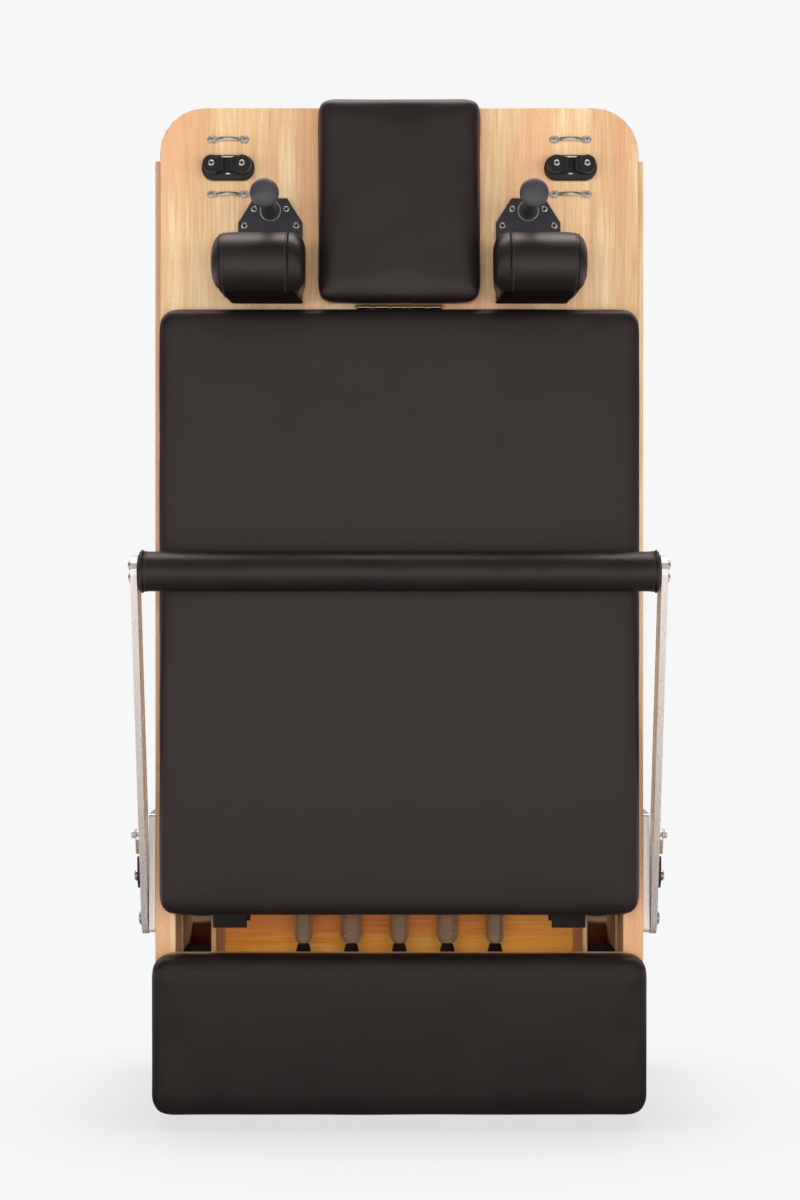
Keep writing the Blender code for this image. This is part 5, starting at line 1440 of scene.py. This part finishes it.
class REFORMER_OT_running_strips(bpy.types.Operator):
    """Lays the polished strips that the wheels run on, with their screws."""

    bl_idname = "reformer.running_strips"
    bl_label = "Running strips"

    def execute(self, context):
        strip_inner, strip_outer = 244.2 * MM, 280.8 * MM
        for half, facing in (("foot", -1), ("head", 1)):
            for name, side in SIDES:
                low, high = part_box(f"{name}_{half}_track")
                face = low.y if facing < 0 else high.y
                surface = face + facing * 0.15 * MM
                back = face - facing * 1.2 * MM
                inner, outer = sorted((side * strip_inner, side * strip_outer))
                strip = Form()
                y_low, y_high = sorted((surface, back))
                strip.box((inner, y_low, low.z + 0.5 * MM), (outer, y_high, high.z - 0.5 * MM))
                piece = make_piece(f"{name}_{half}_strip", strip, polished_strip, f"{half}_half")
                soften_edges(piece, 0.4 * MM, 2)
                screws = Form()
                # The lowest screw is hidden behind the platform, and none shows above it
                gap, lowest, ends = 160 * MM, 90 * MM, 0.13
                count = int((high.z - low.z - ends) / gap)
                for i in range(count + 1):
                    height = low.z + lowest + i * gap
                    place = (side * 262.5 * MM, surface - facing * 0.02 * MM, height)
                    cross_screw(screws, place, (0, facing, 0), 3.4 * MM, 0.08 * MM, 24)
                make_piece(f"{name}_{half}_strip_screws", screws, bright_chrome, f"{half}_half")
        return {"FINISHED"}


class REFORMER_OT_frame_fixings(bpy.types.Operator):
    """Adds the bolts in the rails, the hinge's screws and the wheels' hub rings."""

    bl_idname = "reformer.frame_fixings"
    bl_label = "Frame fixings"

    def execute(self, context):
        for half in ("foot", "head"):
            for name, side in SIDES:
                low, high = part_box(f"{name}_{half}_rail")
                outer = high.x if side > 0 else low.x
                bolts = Form()
                for height in (low.z + 13 * MM, high.z - 27 * MM):
                    for share in (0.26, 0.74):
                        place = (outer, low.y + (high.y - low.y) * share, height)
                        socket_screw(bolts, place, (side, 0, 0), 7.5 * MM, 1.6 * MM, 36)
                make_piece(f"{name}_{half}_rail_bolts", bolts, bright_chrome, f"{half}_half")
            self.screw_hinge(half)
        for name, side in SIDES:
            for level in ("lower", "upper"):
                self.ring_hub(f"{name}_{level}_wheel", side)
        return {"FINISHED"}

    def screw_hinge(self, half):
        """Countersunk screws along the fold hinge's leaf, between its ears."""
        rail_low, rail_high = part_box(f"left_{half}_rail")
        underside = rail_high.y if half == "foot" else rail_low.y
        facing = 1 if half == "foot" else -1
        screws = Form()
        # Their places across the frame, in metres
        for x in (-0.264, -0.168, -0.134, -0.101, 0.057, 0.101, 0.134, 0.168, 0.264):
            place = (x, underside + facing * 3.3 * MM, rail_high.z - 34 * MM)
            cross_screw(screws, place, (0, facing, 0), 3.8 * MM, 0.5 * MM)
        make_piece(f"{half}_hinge_screws", screws, bright_chrome, f"{half}_half")

    def ring_hub(self, node, side):
        """The pressed bearing in a wheel's open face."""
        low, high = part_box(node)
        middle = (low + high) / 2
        face = low.x if side > 0 else high.x
        ring = Form()
        profile = in_mm([(9.6, 0), (9.6, 0.5), (9.0, 0.8), (6.4, 0.8), (6.0, 0.3)])
        ring.turn(profile, (face + side * 0.6 * MM, middle.y, middle.z), (-side, 0, 0), 32)
        make_piece(f"{node}_bearing", ring, bright_chrome, node)


class REFORMER_OT_stage(bpy.types.Operator):
    """Sets up the pale floor, the soft lamps and the camera."""

    bl_idname = "reformer.stage"
    bl_label = "Stage"

    def execute(self, context):
        choices = settings("reformer_stage")
        self.lay_floor(choices)
        self.light_world(choices)
        target = (0, -0.17, 0.68)
        for side, share in ((-1, 0.9), (1, 1.1)):
            name, place, watts = f"Side lamp {side}", (side * 2.3, -2.5, 1.0), choices.side_lamps
            self.hang_lamp(name, place, target, (1.3, 1.3), watts * share)
        self.hang_lamp("Front lamp", (0.1, -3.3, 0.8), target, (2.6, 1.6), choices.front_lamp)
        name, place, target = "Top lamp", (0, 0.2, 3.4), (0, 0.2, 1.0)
        top = self.hang_lamp(name, place, target, (3.0, 1.65), choices.top_lamp)
        # Its reflection is the sheen on the cushions' upper edges
        top.visible_glossy = True
        self.place_camera(choices)
        context.scene.view_settings.view_transform = "Standard"
        return {"FINISHED"}

    def lay_floor(self, choices):
        """A paper roll that is white to the camera and keeps the object's shadow."""
        half = 14.0
        form = Form()
        form.box((-half, -half, -0.02), (half, half, 0.0))
        material, tree, shader = new_finish("Paper roll, matt")
        rays = add_node(tree, "LightPath").node.outputs
        kinds = ("Camera", "Glossy", "Transmission")
        camera, glossy, through = (rays[f"Is {kind} Ray"] for kind in kinds)
        seen = add_node(tree, "Math", {0: camera, 1: glossy}, operation="MAXIMUM")
        shown = add_node(tree, "Math", {0: seen, 1: through}, operation="MAXIMUM")
        near, spread = (
            add_node(tree, "AmbientOcclusion", {"Distance": reach}, "AO", samples=16)
            for reach in (0.34, 0.15)
        )
        both = add_node(tree, "Math", {0: near, 1: spread}, operation="MULTIPLY")
        level = add_node(tree, "MapRange", {"Value": both, 3: 1 - choices.shadow, 4: 1.0})
        # The lamps' pool of light falls off towards the object, which shows in its reflections
        place = add_node(tree, "TexCoord", output="Object")
        away = add_node(tree, "VectorMath", {0: place}, "Value", operation="LENGTH")
        fall = {"Value": away, 1: 0.4, 2: 2.4, 3: 0.10, 4: 1.0}
        pool = add_node(tree, "MapRange", fall, interpolation_type="SMOOTHSTEP")
        dimmed = add_node(tree, "Math", {0: level, 1: pool}, operation="MULTIPLY")
        strength = add_node(tree, "Mix", {0: camera, 2: dimmed, 3: level}, data_type="FLOAT")
        glow = add_node(tree, "Emission", {"Color": choices.paper, "Strength": strength})
        cover = add_node(tree, "MixShader", {0: shown, 1: shader.outputs[0], 2: glow})
        plug(tree, tree.nodes["Material Output"], {"Surface": cover})
        plug(tree, shader, {"Base Color": (0.82, 0.82, 0.82, 1), "Roughness": 0.9})
        plug(tree, shader, {"Specular IOR Level": 0.1})
        floor = add_object("Floor", form.mesh("Floor"))
        floor.data.materials.append(material)

    def light_world(self, choices):
        """An even white room; its reflection is white before and high behind, and dim beside."""
        world = bpy.data.worlds.new("White room")
        bpy.context.scene.world = world
        world.use_nodes = True
        tree = world.node_tree
        rays = add_node(tree, "LightPath").node.outputs
        direction = add_node(tree, "TexCoord", output="Generated")
        axes = add_node(tree, "SeparateXYZ", {0: direction}).node.outputs
        back, up = axes["Y"], axes["Z"]
        front = add_node(tree, "Math", {0: back, 1: -1.0}, operation="MULTIPLY")
        # Each share of the light rises or falls smoothly, from where to where and at what values
        walls, height, behind, above = (
            add_node(
                tree,
                "MapRange",
                {"Value": value, 1: start, 2: end, 3: first, 4: last},
                interpolation_type="SMOOTHSTEP",
            )
            for value, start, end, first, last in (
                (front, 0.5, 1.0, 0.05, 1.0),
                (up, -0.05, 0.32, 1.0, 0.22),
                (back, -0.15, 0.35, 0.0, 0.93),
                (up, 0.1, 0.5, 0.0, 1.0),
            )
        )
        before = add_node(tree, "Math", {0: walls, 1: height}, operation="MULTIPLY")
        behind = add_node(tree, "Math", {0: behind, 1: above}, operation="MULTIPLY")
        room = add_node(tree, "Math", {0: before, 1: behind}, operation="MAXIMUM")
        indirect = {0: rays["Is Glossy Ray"], 1: rays["Is Transmission Ray"]}
        mirrored = add_node(tree, "Math", indirect, operation="MAXIMUM")
        light = {0: mirrored, 2: choices.ambient, 3: room}
        lit = add_node(tree, "Mix", light, data_type="FLOAT")
        shown = {0: rays["Is Camera Ray"], 2: lit, 3: choices.paper[0]}
        level = add_node(tree, "Mix", shown, data_type="FLOAT")
        plug(tree, tree.nodes["Background"], {"Color": (1, 1, 1, 1), "Strength": level})

    def hang_lamp(self, name, place, target, size, watts):
        """A soft rectangular lamp that lights the object without being seen itself."""
        data = bpy.data.lights.new(name, "AREA")
        data.shape = "RECTANGLE"
        data.size, data.size_y = size
        data.energy = watts
        lamp = add_object(name, data)
        lamp.location = place
        aim = Vector(target) - Vector(place)
        lamp.rotation_euler = aim.to_track_quat("-Z", "Y").to_euler()
        lamp.visible_camera = False
        lamp.visible_glossy = False
        return lamp

    def place_camera(self, choices):
        """A level camera before the object's front."""
        data = bpy.data.cameras.new("Camera")
        data.lens = choices.lens
        data.sensor_width = 36.0
        camera = add_object("Camera", data)
        camera.location = (choices.shift, -choices.distance, choices.height)
        camera.rotation_euler = (math.pi / 2, 0, 0)
        bpy.context.scene.camera = camera


OPERATORS = (
    REFORMER_OT_wood,
    REFORMER_OT_hardware,
    REFORMER_OT_cushions,
    REFORMER_OT_bolsters,
    REFORMER_OT_shoulder_plates,
    REFORMER_OT_cleats,
    REFORMER_OT_eye_straps,
    REFORMER_OT_headrest_hinge,
    REFORMER_OT_footbar,
    REFORMER_OT_footbar_fittings,
    REFORMER_OT_springs,
    REFORMER_OT_running_strips,
    REFORMER_OT_frame_fixings,
    REFORMER_OT_stage,
)


class REFORMER_PT_looks(bpy.types.Panel):
    """Lists the settings and the operators in the order in which they run."""

    bl_idname = "REFORMER_PT_looks"
    bl_label = "Folding reformer"
    bl_space_type = "VIEW_3D"
    bl_region_type = "UI"
    bl_category = "Reformer"

    def draw(self, context):
        for group, kind in SETTINGS.items():
            box = self.layout.box()
            box.label(text=kind.__doc__)
            for name in kind.__annotations__:
                box.prop(getattr(context.scene, group), name)
        for operator in OPERATORS:
            self.layout.operator(operator.bl_idname)


CLASSES = (*SETTINGS.values(), *OPERATORS, REFORMER_PT_looks)


def register():
    """Makes the settings, the operators and the panel known."""
    for kind in CLASSES:
        bpy.utils.register_class(kind)
    for group, kind in SETTINGS.items():
        setattr(bpy.types.Scene, group, PointerProperty(type=kind))


def unregister():
    """Takes them away again."""
    for group in SETTINGS:
        delattr(bpy.types.Scene, group)
    for kind in reversed(CLASSES):
        bpy.utils.unregister_class(kind)


def main():
    """Runs every operator in order."""
    register()
    for operator in OPERATORS:
        group, name = operator.bl_idname.split(".")
        getattr(getattr(bpy.ops, group), name)()


if __name__ == "__main__":
    main()
